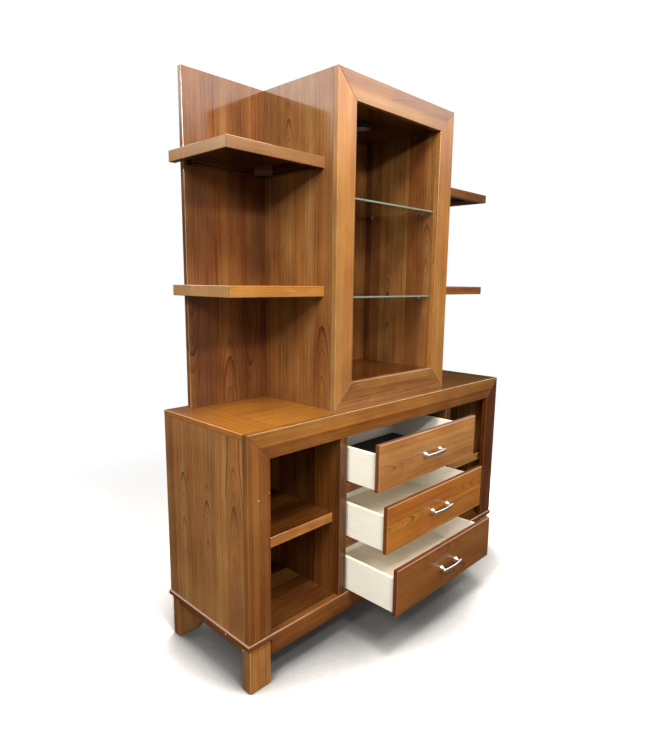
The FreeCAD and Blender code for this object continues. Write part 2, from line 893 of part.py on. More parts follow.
cleats = []
for hand in HANDS:
    for level in ("upper", "lower"):
        side_shelf(level, hand)
        low_z = f"{level}_shelf_top - side_shelf_edge + cleat_rise"
        long_cleat = "hutch_inset - corner_block - wing_cleat_start"
        cleats.append(board(
            f"cleat_wing_{level}_{hand}",
            (across(hand, "wing_cleat_start", long_cleat), "wing_y - cleat_thick", low_z),
            (long_cleat, "cleat_thick", "cleat_high"),
            ("FD",),
        ))
        outside = "L" if hand == "left" else "R"
        short_cleat = "side_shelf_deep - side_shelf_lipping - corner_block - cleat_end_gap"
        cleats.append(board(
            f"cleat_side_{level}_{hand}",
            (
                across(hand, "hutch_inset - cleat_thick", "cleat_thick"),
                f"wing_y - corner_block - ({short_cleat})",
                low_z,
            ),
            ("cleat_thick", short_cleat, "cleat_high"),
            (outside + "D",),
        ))
        block = new_body(
            f"corner_block_{level}_{hand}",
            (across(hand, "hutch_inset - corner_block", "corner_block"), "wing_y - corner_block", low_z),
        )
        plan = new_sketch(block, "XY_Plane", "plan")
        outer, inner = outer_and_inner(hand, "corner_block")
        near_case = "corner_block - cleat_thick" if hand == "left" else "cleat_thick"
        draw_outline(plan, [
            (outer, "corner_block - cleat_thick"),
            (near_case, "0"),
            (inner, "0"),
            (inner, "corner_block"),
            (outer, "corner_block"),
        ])
        pad(block, plan, "cleat_high")
        cleats.append(block)
group("shelf_cleats", cleats)


# Glass shelves on pins, and the lamp under the ceiling

def turned_part(name, low, role, axis, profile):
    """A round piece turned about one axis of a plane from half its section."""
    body = new_body(name, low)
    half_section = new_sketch(body, role, "half_section")
    draw_outline(half_section, profile)
    turned = body.newObject("PartDesign::Revolution", name + "_turned")
    turned.Profile = half_section
    turned.ReferenceAxis = (half_section, [axis])
    return body


glass = []
pins = []
for level in ("upper", "lower"):
    pane = new_body(f"glass_shelf_{level}", (
        across("left", "wall_inside + glass_side_gap", "0"),
        "hutch_inside_y + glass_front_gap",
        f"glass_{level}",
    ))
    blank(pane, (
        "hutch_inside_wide - 2 * glass_side_gap",
        "hutch_inside_deep - glass_front_gap - glass_back_gap",
        "glass_thick",
    ))
    finish_edges(pane, ("F",), "glass_ease")
    glass.append(pane)
    for hand in HANDS:
        for column, along in (
            ("front", "hutch_front_y + pin_front"),
            ("back", "hutch_back_panel_y - pin_back"),
        ):
            pin = turned_part(
                f"shelf_pin_{level}_{hand}_{column}",
                (
                    across(hand, "wall_inside - pin_shank", "0"),
                    along,
                    f"glass_{level} - pin_play - pin_head_radius",
                ),
                "XY_Plane",
                "H_Axis",
                [
                    ("0", "0"),
                    ("pin_shank + pin_head", "0"),
                    ("pin_shank + pin_head", "pin_head_radius"),
                    ("pin_shank", "pin_head_radius"),
                    ("pin_shank", "pin_radius"),
                    ("0", "pin_radius"),
                ],
            )
            if hand == "right":
                pin.Placement.Rotation = FreeCAD.Rotation(FreeCAD.Vector(0, 0, 1), HALF_TURN)
            pins.append(pin)
group("glass_shelves", glass)
group("shelf_pins", pins)

inner_radius = "lamp_radius - lamp_rim"
housing = turned_part(
    "lamp_housing",
    ("0", "lamp_y", "ceiling_under - lamp_height"),
    "XZ_Plane",
    "V_Axis",
    [
        (inner_radius, "0"),
        ("lamp_radius - lamp_round", "0"),
        ("lamp_radius", "lamp_round"),
        ("lamp_radius", "lamp_height"),
        ("0", "lamp_height"),
        ("0", "lamp_recess + lens_thick"),
        (inner_radius, "lamp_recess + lens_thick"),
    ],
)
keep(housing)
keep(turned_part(
    "lamp_lens",
    ("0", "lamp_y", "ceiling_under - lamp_height + lamp_recess"),
    "XZ_Plane",
    "V_Axis",
    [
        ("0", "0"),
        ("lens_radius", "0"),
        ("lens_radius", "lens_thick"),
        ("0", "lens_thick"),
    ],
))


# Every object has to be sound before any piece is written

doc.recompute()
for item in doc.Objects:
    if "Invalid" in item.State or "Error" in item.State:
        raise RuntimeError(f"{item.Name} did not build: {item.State}")
for item in nodes:
    if item.Shape.isNull() or not item.Shape.isValid():
        raise RuntimeError(f"{item.Label} has no sound shape")

os.makedirs("parts", exist_ok=True)
for item in nodes:
    item.Shape.exportStep(f"parts/{item.Label}.step")
print(len(nodes), "pieces written")
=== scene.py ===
import math

import bmesh
import bpy
import numpy as np
from mathutils import Matrix, Vector


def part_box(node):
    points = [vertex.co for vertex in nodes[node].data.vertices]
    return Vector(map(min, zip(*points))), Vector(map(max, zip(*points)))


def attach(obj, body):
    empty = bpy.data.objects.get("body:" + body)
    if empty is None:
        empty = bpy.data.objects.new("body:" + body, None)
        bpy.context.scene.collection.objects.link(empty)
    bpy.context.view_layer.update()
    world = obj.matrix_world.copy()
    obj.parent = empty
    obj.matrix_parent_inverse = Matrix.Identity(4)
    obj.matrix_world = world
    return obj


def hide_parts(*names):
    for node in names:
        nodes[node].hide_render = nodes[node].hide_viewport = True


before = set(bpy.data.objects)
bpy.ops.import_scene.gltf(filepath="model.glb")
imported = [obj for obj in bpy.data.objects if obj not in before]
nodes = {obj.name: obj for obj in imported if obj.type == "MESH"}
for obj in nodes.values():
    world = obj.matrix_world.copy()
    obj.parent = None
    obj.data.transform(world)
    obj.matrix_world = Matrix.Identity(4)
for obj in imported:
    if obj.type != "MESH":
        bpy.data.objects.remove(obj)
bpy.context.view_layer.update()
scene = bpy.context.scene


# Camera: it stands where the photographer stood, a little left of the front and above counter height.
# Its place, turn and focal length come from a fit to the corners of the piece.

CAMERA_PLACE = (-1.7023, -1.3524, 1.2931)
CAMERA_YAW = 0.804
CAMERA_PITCH = -0.168
CAMERA_ROLL = 0.012
PHOTO_WIDTH = 650
PHOTO_HEIGHT = 750
FOCAL_PIXELS = 555.68
CENTRE_PIXEL = (330.5, 376.0)
SENSOR = 36.0

forward = Vector((
    math.sin(CAMERA_YAW) * math.cos(CAMERA_PITCH),
    math.cos(CAMERA_YAW) * math.cos(CAMERA_PITCH),
    math.sin(CAMERA_PITCH),
))
level = Vector((math.cos(CAMERA_YAW), -math.sin(CAMERA_YAW), 0.0))
upward = level.cross(forward)
right = level * math.cos(CAMERA_ROLL) + upward * math.sin(CAMERA_ROLL)
upward = upward * math.cos(CAMERA_ROLL) - level * math.sin(CAMERA_ROLL)

camera_data = bpy.data.cameras.new("camera")
camera_data.sensor_width = SENSOR
camera_data.sensor_fit = "AUTO"
camera_data.lens = FOCAL_PIXELS * SENSOR / PHOTO_HEIGHT
camera_data.shift_x = (PHOTO_WIDTH / 2 - CENTRE_PIXEL[0]) / PHOTO_HEIGHT
camera_data.shift_y = (CENTRE_PIXEL[1] - PHOTO_HEIGHT / 2) / PHOTO_HEIGHT
camera_data.clip_start = 0.05
camera_data.clip_end = 60.0
camera = bpy.data.objects.new("camera", camera_data)
bpy.context.collection.objects.link(camera)
camera.matrix_world = Matrix((
    (right.x, upward.x, -forward.x, CAMERA_PLACE[0]),
    (right.y, upward.y, -forward.y, CAMERA_PLACE[1]),
    (right.z, upward.z, -forward.z, CAMERA_PLACE[2]),
    (0, 0, 0, 1),
))
scene.camera = camera
scene.view_settings.view_transform = "Standard"


# Legs: four flat blocks of solid hardwood, planed, with a rounded outer corner and a chamfered foot. They
# stand under the corners of the carcase and are finished with it in brown stain and clear lacquer.

def linear(hex_colour):
    """Turns an sRGB hex colour into linear red, green, blue and an alpha of one."""
    parts = [int(hex_colour[i:i + 2], 16) / 255 for i in (1, 3, 5)]
    return tuple(p / 12.92 if p <= 0.04045 else ((p + 0.055) / 1.055) ** 2.4 for p in parts) + (1.0,)


def add(tree, kind, *values, out="", stops=(), **settings):
    """Adds a node with its settings. The values go in order to the inputs that the settings leave open:
    a socket is linked, None is passed over and the rest are set. Stops are a ramp's places with their
    hex colours or grey levels. Gives the first open output, the one named by out, or a list of all."""
    node = tree.nodes.new("ShaderNode" + kind)
    for name, value in settings.items():
        setattr(node, name, value)
    for number, (position, colour) in enumerate(stops):
        elements = node.color_ramp.elements
        element = elements[number] if number < 2 else elements.new(position)
        element.position = position
        element.color = linear(colour) if isinstance(colour, str) else (colour, colour, colour, 1.0)
    for socket, value in zip([socket for socket in node.inputs if socket.enabled], values):
        if isinstance(value, bpy.types.NodeSocket):
            tree.links.new(value, socket)
        elif value is not None:
            socket.default_value = value
    outputs = {socket.name: socket for socket in node.outputs if socket.enabled}
    if out == "all":
        return list(outputs.values())
    return outputs[out] if out else next(iter(outputs.values()))


def new_finish(name):
    """Starts a material, and gives it with its nodes, its shader and each point's own place in mm."""
    material = bpy.data.materials.new(name)
    material.use_nodes = True
    tree = material.node_tree
    place = add(tree, "TexCoord", out="Object")
    place = add(tree, "VectorMath", place, (1000.0, 1000.0, 1000.0), operation="MULTIPLY")
    return material, tree, tree.nodes["Principled BSDF"], place


def patches(tree, place, sizes, detail=2.0, rough=0.5):
    """Uneven patches, from 0 to 1, that measure the given millimetres along the three axes."""
    scaled = add(tree, "VectorMath", place, tuple(1 / size for size in sizes), operation="MULTIPLY")
    return add(tree, "TexNoise", scaled, 1.0, detail, rough)


# Wood figure. Growth rings are cylinders round a heart that leans back from the board's face, so where the
# heart comes out they show as pointed arches, and further along as upright lines. A point's distance from
# the heart has three parts: how far it is aside, how far the heart has sunk, and how deep it lies itself.
# Place is across, depth and along the grain in mm, and Heart is its across, its along and the ring width.

WOOD_STOPS = ((0.0, "#42200c"), (0.3, "#6e3f18"), (0.52, "#895724"), (0.75, "#a06e32"), (1.0, "#b6884a"))
LATE_WOOD = "#2a1206"
PORE = "#3b1d0d"
HEART_TILT = 0.12
HEART_DEPTH = 45.0
HEART_BEND = 4.0
BOARD_REPEAT = 40.0
DEPTH_SHARE = 0.6
DRIFT_ASIDE = 16.0
WANDER_ASIDE = 3.5
WANDER_RINGS = 0.35
SPACING_SWING = 0.5
GOLDEN = 0.618034
STRENGTH_POWER = 1.8
WEAKEST_LINE = 0.24
LINE_POWER = 1.6
LATE_SHARE = 0.92
PORE_SHARE = 0.3
FIBRE_SHARE = 0.4
TONE_SHARE = 0.34
# Sizes of the uneven patches in mm, across, deep and along. Real fibres and pores are about a fifth of a
# millimetre wide, and are drawn up to 1 mm coarse so that they show.
DRIFT_SIZE = (80, 80, 300)
WANDER_SIZE = (13, 13, 90)
FADE_SIZE = (60, 60, 260)
REDNESS_SIZE = (45, 45, 800)
FIBRE_SIZE = (1.1, 1.1, 45)
PORE_SIZE = (0.7, 0.7, 9)
TONE_LAYERS = (((30, 30, 1500), 2.0, 0.34), ((110, 110, 240), 3.0, 0.6), ((4, 4, 300), 2.0, 0.36))

figure = bpy.data.node_groups.new("figured_wood", "ShaderNodeTree")
for direction, sockets in (
    ("INPUT", {"Place": "Vector", "Heart": "Vector", "Tone": "Float", "Lot": "Float", "Lines": "Float"}),
    ("OUTPUT", {"Color": "Color", "Line": "Float", "Fibre": "Float"}),
):
    for name, kind in sockets.items():
        figure.interface.new_socket(name, in_out=direction, socket_type="NodeSocket" + kind)
given = figure.nodes.new("NodeGroupInput").outputs
taken = figure.nodes.new("NodeGroupOutput").inputs
across, depth, along = add(figure, "SeparateXYZ", given["Place"], out="all")
heart_across, heart_along, ring_width = add(figure, "SeparateXYZ", given["Heart"], out="all")
lot_shift = add(figure, "CombineXYZ", None, None, given["Lot"])
place = add(figure, "VectorMath", given["Place"], lot_shift, operation="ADD")

drift = add(figure, "Math", patches(figure, place, DRIFT_SIZE), 0.5, operation="SUBTRACT")
wander = add(figure, "Math", patches(figure, place, WANDER_SIZE), 0.5, operation="SUBTRACT")
aside = add(figure, "Math", across, heart_across, operation="SUBTRACT")
aside = add(figure, "Math", drift, DRIFT_ASIDE, aside, operation="MULTIPLY_ADD")
aside = add(figure, "Math", wander, WANDER_ASIDE, aside, operation="MULTIPLY_ADD")
past = add(figure, "Math", along, heart_along, operation="SUBTRACT")
past = add(figure, "Math", past, add(figure, "Math", ring_width, operation="SIGN"), operation="MULTIPLY")
past = add(figure, "Math", past, 0.0, operation="MAXIMUM")
sunk = add(figure, "Math", past, HEART_TILT, operation="MULTIPLY")
sunk = add(figure, "Math", sunk, HEART_DEPTH, HEART_BEND, operation="SMOOTH_MIN")
inside = add(figure, "Math", depth, BOARD_REPEAT, operation="PINGPONG")
inside = add(figure, "Math", inside, DEPTH_SHARE, operation="MULTIPLY")
from_heart = add(figure, "VectorMath", add(figure, "CombineXYZ", aside, sunk, inside), operation="LENGTH")

# The distance from the heart in ring widths swings a little, so that rings crowd and spread. Its whole part
# is the ring's number. A ring's strength follows the fraction of its number times the golden ratio, and its
# dark line starts later where the ring is weak.
phase = add(figure, "Math", ring_width, operation="ABSOLUTE")
phase = add(figure, "Math", from_heart, phase, operation="DIVIDE")
phase = add(figure, "Math", wander, WANDER_RINGS, phase, operation="MULTIPLY_ADD")
swing = add(figure, "Math", phase, operation="SINE")
phase = add(figure, "Math", swing, SPACING_SWING, phase, operation="MULTIPLY_ADD")
ring = add(figure, "Math", add(figure, "Math", phase, operation="FLOOR"), GOLDEN, operation="MULTIPLY")
ring = add(figure, "Math", add(figure, "Math", ring, operation="FRACT"), STRENGTH_POWER, operation="POWER")
strength = add(figure, "Math", ring, 1 - WEAKEST_LINE, WEAKEST_LINE, operation="MULTIPLY_ADD")
start = add(figure, "Math", strength, -0.5, 0.7, operation="MULTIPLY_ADD")
left_over = add(figure, "Math", 1.0, start, operation="SUBTRACT")
line = add(figure, "Math", add(figure, "Math", phase, operation="FRACT"), start, operation="SUBTRACT")
line = add(figure, "Math", line, left_over, operation="DIVIDE", use_clamp=True)
line = add(figure, "Math", line, LINE_POWER, operation="POWER")
line = add(figure, "Math", line, strength, operation="MULTIPLY")
line = add(figure, "Math", line, given["Lines"], operation="MULTIPLY")
fade = patches(figure, place, FADE_SIZE)
fade = add(figure, "Math", fade, 3.0, -0.2, operation="MULTIPLY_ADD", use_clamp=True)
line = add(figure, "Math", line, fade, operation="MULTIPLY", use_clamp=True)

# Under the lines lie the long tone of each strip, a broad mottle, short streaks and fine fibres
fibre = patches(figure, place, FIBRE_SIZE, 3.0, 0.65)
shade = 0.5
for sizes, detail, share in TONE_LAYERS:
    uneven = add(figure, "Math", patches(figure, place, sizes, detail), 0.5, operation="SUBTRACT")
    shade = add(figure, "Math", uneven, share, shade, operation="MULTIPLY_ADD")
uneven = add(figure, "Math", fibre, 0.5, operation="SUBTRACT")
shade = add(figure, "Math", uneven, FIBRE_SHARE, shade, operation="MULTIPLY_ADD")
shade = add(figure, "Math", given["Tone"], TONE_SHARE, shade, operation="MULTIPLY_ADD")
colour = add(figure, "ValToRGB", shade, stops=WOOD_STOPS)
redness = patches(figure, place, REDNESS_SIZE)
redness = add(figure, "ValToRGB", redness, stops=((0.35, "#f6fdff"), (0.65, "#fff0e0")))
colour = add(figure, "Mix", 1.0, colour, redness, data_type="RGBA", blend_type="MULTIPLY")
late = add(figure, "Math", line, LATE_SHARE, operation="MULTIPLY")
colour = add(figure, "Mix", late, colour, linear(LATE_WOOD), data_type="RGBA")
pores = add(figure, "ValToRGB", patches(figure, place, PORE_SIZE, 1.0), stops=((0.62, 0.0), (0.74, 1.0)))
pores = add(figure, "Math", pores, PORE_SHARE, operation="MULTIPLY")
colour = add(figure, "Mix", pores, colour, linear(PORE), data_type="RGBA")
figure.links.new(colour, taken["Color"])
figure.links.new(line, taken["Line"])
figure.links.new(fibre, taken["Fibre"])

STAVE = 98.0
STAVE_SHIFT = 7.3
HEART_SCATTER = 3.6
HEART_LOWEST = -900.0
HEART_SPAN = 2400.0
RING_FINEST = 4.0
RING_SPAN = 3.0
TONE_SPAN = 0.9
LOT_STRIDE = 410.0


def figured(tree, place, axes, staves=None, width=STAVE, seed=0.0, tone=0.0, face=0.0, lines=1.0):
    """The figure of a board, as its colour, line and fibre. The axes name across, depth and along, such as
    XYZ for an upright front. The staves are given as start, heart across, heart along, ring width and
    tone, or else drawn by lot at the given width: a stave's number is across divided by the width, and its
    heart, ring width and tone are spread evenly over their spans. A ring width below zero points the arches
    down. Face is where the show face lies along the depth axis, and lines is the dark lines' strength."""
    parts = dict(zip("XYZ", add(tree, "SeparateXYZ", place, out="all")))
    across, depth, along = (parts[axis] for axis in axes)
    depth = add(tree, "Math", depth, face, operation="SUBTRACT")
    if staves:
        heart = tuple(staves[0][1:4])
        shift = staves[0][4]
        for start, *values in staves[1:]:
            past = add(tree, "Math", across, start, operation="GREATER_THAN")
            heart = add(tree, "Mix", past, heart, tuple(values[:3]), data_type="VECTOR")
            shift = add(tree, "Mix", past, shift, values[3], data_type="FLOAT")
        shift = add(tree, "Math", shift, tone, operation="ADD")
    else:
        offset = seed * STAVE_SHIFT
        number = add(tree, "Math", across, offset, operation="ADD")
        number = add(tree, "Math", number, width, operation="DIVIDE")
        number = add(tree, "Math", number, operation="FLOOR")
        lot = add(tree, "Math", number, seed, operation="ADD")
        chance, draws = add(tree, "TexWhiteNoise", lot, out="all", noise_dimensions="1D")
        first, second, third = add(tree, "SeparateColor", draws, out="all")
        chance = add(tree, "Math", chance, 0.5, operation="SUBTRACT")
        middle = add(tree, "Math", number, width, width / 2 - offset, operation="MULTIPLY_ADD")
        first = add(tree, "Math", first, 0.5, operation="SUBTRACT")
        middle = add(tree, "Math", first, HEART_SCATTER * width, middle, operation="MULTIPLY_ADD")
        far = add(tree, "Math", second, HEART_SPAN, HEART_LOWEST, operation="MULTIPLY_ADD")
        rings = add(tree, "Math", third, RING_SPAN, RING_FINEST, operation="MULTIPLY_ADD")
        rings = add(tree, "Math", rings, add(tree, "Math", chance, operation="SIGN"), operation="MULTIPLY")
        heart = add(tree, "CombineXYZ", middle, far, rings)
        shift = add(tree, "Math", chance, TONE_SPAN, tone, operation="MULTIPLY_ADD")
    turned = add(tree, "CombineXYZ", across, depth, along)
    return add(tree, "Group", turned, heart, shift, seed * LOT_STRIDE, lines, node_tree=figure, out="all")


LACQUER_ROUGHNESS = 0.1
LACQUER_SHARE = 0.8


def lacquered(tree, shader, colour, line, fibre, gloss=LACQUER_ROUGHNESS):
    """Lays sprayed clear lacquer over a wood figure. The eye sees a soft mirror over dull grain, and the
    lacquer sinks a little along the dark lines."""
    tree.links.new(colour, shader.inputs["Base Color"])
    rough = add(tree, "Math", fibre, 0.16, 0.34, operation="MULTIPLY_ADD")
    tree.links.new(rough, shader.inputs["Roughness"])
    shader.inputs["Specular IOR Level"].default_value = 0.0
    shader.inputs["Coat Weight"].default_value = LACQUER_SHARE
    shader.inputs["Coat Roughness"].default_value = gloss
    height = add(tree, "Math", line, -0.6, fibre, operation="MULTIPLY_ADD")
    tree.links.new(add(tree, "Bump", 0.12, 0.0003, None, height), shader.inputs["Normal"])


# Arrises are lightened to this colour, as rubbed wear and as a painted highlight
WORN_AND_HIGHLIT_ARRIS = "#e2b686"
CHIP = "#d9cdb8"
# Faces that look left are lightened to this colour, as painted light
PAINTED_LEFT_LIGHT = "#d0a878"
EDGE_SHARE = 0.75
# A face looks a given way, or is part of a rounded arris, by how far its normal lies along an axis
LOOKS_THAT_WAY = 0.8
ROUNDED = 0.93
TO_LEFT = (-1, 0, 0)
UP = (0, 0, 1)
DOWN = (0, 0, -1)


def wood(piece, axes, staves=None, width=STAVE, seed=0.0, tone=0.0, stain_and_painted_shading=(1, 1, 1), chips=(), edge=None,
         arris_wear_and_highlight=0.1, painted_pale_left=0.0, faces=(), gloss=LACQUER_ROUGHNESS, face=0.0, lines=1.0):
    """Stained and lacquered hardwood for a board, whose arrises are lightened by the given amount, as
    rubbed wear and as a painted highlight. The stain multiplies its red, green and blue, and holds painted
    light and shade for the whole board as well as its stain. Chips are points in mm with a radius where the
    finish is off. Edge is a colour for all faces but those to the front and back. The pale left share is
    how far the faces that look left are lightened, as painted light. Faces lists a direction and the colour
    that multiplies the faces that look that way, as painted light or shade."""
    material, tree, shader, place = new_finish("lacquered_hardwood_" + piece)
    colour, line, fibre = figured(tree, place, axes, staves, width, seed, tone, face, lines)
    # The stain multiplies the colour, and carries painted light and shade for the whole board
    colour = add(tree, "Mix", 1.0, colour, tuple(stain_and_painted_shading) + (1.0,), data_type="RGBA", blend_type="MULTIPLY")
    normal = add(tree, "NewGeometry", out="Normal")
    to_right, to_back, _ = add(tree, "SeparateXYZ", normal, out="all")
    if edge:
        aside = add(tree, "Math", to_back, operation="ABSOLUTE")
        aside = add(tree, "Math", aside, LOOKS_THAT_WAY, operation="LESS_THAN")
        darker = add(tree, "Mix", EDGE_SHARE, colour, linear(edge), data_type="RGBA")
        colour = add(tree, "Mix", aside, colour, darker, data_type="RGBA")
    # Painted light and shade: faces that look one way are multiplied by a colour
    for direction, share in faces:
        painted_face_mask = add(tree, "VectorMath", normal, direction, operation="DOT_PRODUCT")
        painted_face_mask = add(tree, "Math", painted_face_mask, LOOKS_THAT_WAY, operation="GREATER_THAN")
        painted_face_shading = add(tree, "Mix", 1.0, colour, share + (1.0,), data_type="RGBA", blend_type="MULTIPLY")
        colour = add(tree, "Mix", painted_face_mask, colour, painted_face_shading, data_type="RGBA")
    # Painted light: faces that look left are lightened
    if painted_pale_left:
        end = add(tree, "Math", to_right, -LOOKS_THAT_WAY, operation="LESS_THAN")
        end = add(tree, "Math", end, painted_pale_left, operation="MULTIPLY")
        colour = add(tree, "Mix", end, colour, linear(PAINTED_LEFT_LIGHT), data_type="RGBA")
    # Painted highlight and wear: faces that slope, as on a rounded arris, are lightened
    slopes = add(tree, "SeparateXYZ", add(tree, "VectorMath", normal, operation="ABSOLUTE"), out="all")
    steepest = add(tree, "Math", slopes[0], slopes[1], operation="MAXIMUM")
    steepest = add(tree, "Math", steepest, slopes[2], operation="MAXIMUM")
    worn_and_highlit_arris = add(tree, "Math", steepest, ROUNDED, operation="LESS_THAN")
    worn_and_highlit_arris = add(tree, "Math", worn_and_highlit_arris, arris_wear_and_highlight, operation="MULTIPLY")
    colour = add(tree, "Mix", worn_and_highlit_arris, colour, linear(WORN_AND_HIGHLIT_ARRIS), data_type="RGBA")
    for *point, radius in chips:
        near = add(tree, "VectorMath", place, tuple(point), operation="DISTANCE")
        ragged = patches(tree, place, (2.0, 2.0, 2.0), 2.0)
        near = add(tree, "Math", ragged, 1.4 * radius, near, operation="MULTIPLY_ADD")
        near = add(tree, "Math", near, 1.6 * radius, operation="LESS_THAN")
        colour = add(tree, "Mix", near, colour, linear(CHIP), data_type="RGBA")
    lacquered(tree, shader, colour, line, fibre, gloss)
    return material


def dress(material, *names):
    """Gives CAD nodes a better material in their own slots."""
    for name in names:
        for slot in nodes[name].material_slots:
            slot.material = material


# The legs' faces that look left are painted darker, as painted shade
dress(
    wood("legs", "XYZ", width=83.0, seed=9.0, tone=0.25, lines=0.6, stain_and_painted_shading=(1.45, 1.71, 2.58),
         faces=((TO_LEFT, (0.72, 0.66, 0.7)),), chips=((-744.5, -60, 140, 3.0),)),
    "leg_front_left", "leg_front_right", "leg_back_left", "leg_back_right",
)


# Carcase: sides, dividers, floor, shelves and back of board faced with strips of veneer about 100 mm wide,
# and two cross rails between the drawers, glued up face to face. The left side and the floor have their
# arches where the photo shows them.

BASE_HALF = 750.0
BASE_FRONT = -101.5
FLOOR_TOP = 177.0
SIDE_STAIN = (1.35, 1.57, 2.55)

dress(wood("base_side_left", "YXZ", (
    (-200, -33, 376, 6.36, -0.1),
    (10, -190, 500, 6.0, 0.2),
    (62, 113, 314, 3.85, -0.05),
    (165, 420, 500, 5.5, 0.15),
    (200, 253, 321, 4.6, 0.0),
    (310, 150, 500, 6.0, -0.25),
), face=-BASE_HALF, seed=1.0, tone=0.05, stain_and_painted_shading=SIDE_STAIN), "base_side_left")
# The right side's face that looks left, inside the compartment, is painted darker as painted shade
dress(wood("base_side_right", "YXZ", seed=2.0, stain_and_painted_shading=SIDE_STAIN, faces=((TO_LEFT, (0.4, 0.4, 0.4)),)),
      "base_side_right")
# The dividers, back and floor are darkened by stain and tone, as painted shade in the compartments
dress(wood("dividers", "YXZ", seed=10.0, tone=-0.4, stain_and_painted_shading=(0.53, 0.52, 0.6)),
      "base_divider_left", "base_divider_right")
dress(wood("base_back", "XYZ", width=120.0, seed=11.0, tone=-0.3, stain_and_painted_shading=(0.5, 0.45, 0.42)), "base_back")
dress(wood("base_floor", "YZX", (
    (-200, 60, -300, 8.0, 0.1),
    (105, 250, -500, 8.0, 0.7),
    (180, 200, 100, 7.0, -0.5),
    (250, 500, -500, 8.0, 0.4),
), face=FLOOR_TOP, seed=12.0, tone=-0.5, stain_and_painted_shading=(0.48, 0.5, 0.62)), "base_floor")
# The shelves' upward faces are painted darker as painted shade, and the stain brightens the rest
dress(wood("base_shelves", "YZX", seed=13.0, tone=-0.5, lines=0.7, stain_and_painted_shading=(1.56, 1.92, 2.65),
           faces=((UP, (0.26, 0.2, 0.15)),)), "base_shelf_left", "base_shelf_right")
dress(wood("drawer_rails", "ZYX", width=50.0, seed=6.0, tone=-0.2, lines=0.6, stain_and_painted_shading=(0.8, 0.8, 0.8)),
      "drawer_rails")


# Front frame and ledge of the buffet: a solid rail and two stiles, mitred at the top corners and glued to
# the carcase, and below them a rounded ledge with its apron. Their edges are lightened, as rubbed wear and
# as a painted highlight, and chipped in places. The right stile and the ledge's front are painted darker
# as painted shade, and the left stile's face that looks left paler as painted light.

# The left stile's face that looks left is painted paler, as painted light
dress(wood("base_stile_left", "XYZ", (
    (-760, -560, 500, 9.0, -0.1),
    (-731, -900, 500, 9.0, 0.25),
    (-700, -560, 500, 9.0, -0.15),
), face=BASE_FRONT, seed=3.0, lines=0.5, stain_and_painted_shading=(0.73, 0.71, 0.87), faces=((TO_LEFT, (1.3, 1.4, 1.3)),),
    chips=((-708, BASE_FRONT, 640, 2.0), (-668, BASE_FRONT, 655, 1.5))), "base_stile_left")
# The right stile is painted darker by its stain and tone, as painted shade
dress(wood("base_stile_right", "XYZ", seed=4.0, tone=-0.8, lines=0.5, stain_and_painted_shading=(0.78, 0.61, 0.34),
           chips=((749, BASE_FRONT, 430, 3.5), (749, BASE_FRONT, 255, 3.5))), "base_stile_right")
dress(wood("base_rail", "ZYX", width=60.0, seed=5.0, tone=0.05, lines=0.4, arris_wear_and_highlight=0.2,
           stain_and_painted_shading=(0.77, 0.79, 0.88)), "base_rail_top")
# The ledge's front is painted darker by its stain, as painted shadow of the drawers above
dress(wood("ledge_front", "ZYX", width=60.0, seed=7.0, tone=-0.25, lines=0.4, stain_and_painted_shading=(0.62, 0.6, 0.78)),
      "plinth_front")
dress(wood("ledge_sides", "ZXY", width=60.0, seed=8.0, tone=-0.3, lines=0.6, stain_and_painted_shading=(0.85, 0.8, 0.75),
           chips=((-757, 15, 168, 3.0),)), "plinth_left", "plinth_right")


# Counter top: veneered board behind the front rail. Its middle runs lengthwise and a band at each end runs
# front to back, with a fine dark seam between. Its colour is painted palest at the left and darker towards
# the right, as painted light falling across it.

BAND_START = 620.0
SEAM_HALF = 0.8
MIDDLE_STRIP = 110.0
END_STRIP = 130.0
HONEY = "#98682c"
SEAM = "#4a2612"
TOP_STAIN = (0.93, 0.88, 0.7, 1.0)

# Sliced veneer under the same lacquer as the boards, with a yellower tone than theirs
material, tree, shader, place = new_finish("lacquered_veneer_counter")
middle = figured(tree, place, "YZX", width=MIDDLE_STRIP, seed=30.0)
ends = figured(tree, place, "XZY", width=END_STRIP, seed=31.0, tone=0.1)
sideways = add(tree, "SeparateXYZ", place)
outwards = add(tree, "Math", sideways, operation="ABSOLUTE")
is_end = add(tree, "Math", outwards, BAND_START, operation="GREATER_THAN")
colour = add(tree, "Mix", is_end, middle[0], ends[0], data_type="RGBA")
colour = add(tree, "Mix", 0.35, colour, linear(HONEY), data_type="RGBA")
# Painted light: a ramp brightest at the left end and darkest at the right multiplies the colour
painted_light_along_top = add(tree, "Math", sideways, 1 / (2 * BASE_HALF), 0.5, operation="MULTIPLY_ADD")
painted_light_along_top = add(tree, "ValToRGB", painted_light_along_top, stops=((0.08, 1.45), (0.3, 0.86), (0.7, 0.72), (1.0, 0.55)))
colour = add(tree, "Mix", 1.0, colour, painted_light_along_top, data_type="RGBA", blend_type="MULTIPLY")
colour = add(tree, "Mix", 1.0, colour, TOP_STAIN, data_type="RGBA", blend_type="MULTIPLY")
seam = add(tree, "Math", outwards, BAND_START, operation="SUBTRACT")
seam = add(tree, "Math", add(tree, "Math", seam, operation="ABSOLUTE"), SEAM_HALF, operation="LESS_THAN")
colour = add(tree, "Mix", seam, colour, linear(SEAM), data_type="RGBA")
lacquered(tree, shader, colour, middle[1], middle[2])
dress(material, "base_top")


# Runners, tracks and glides: channels bent from 1.5 mm zinc-plated steel, one on the rail or floor and one
# under the drawer's middle that rides it, and nylon discs let into the rails under the drawer's sides.

DRAWERS = ("top", "middle", "bottom")


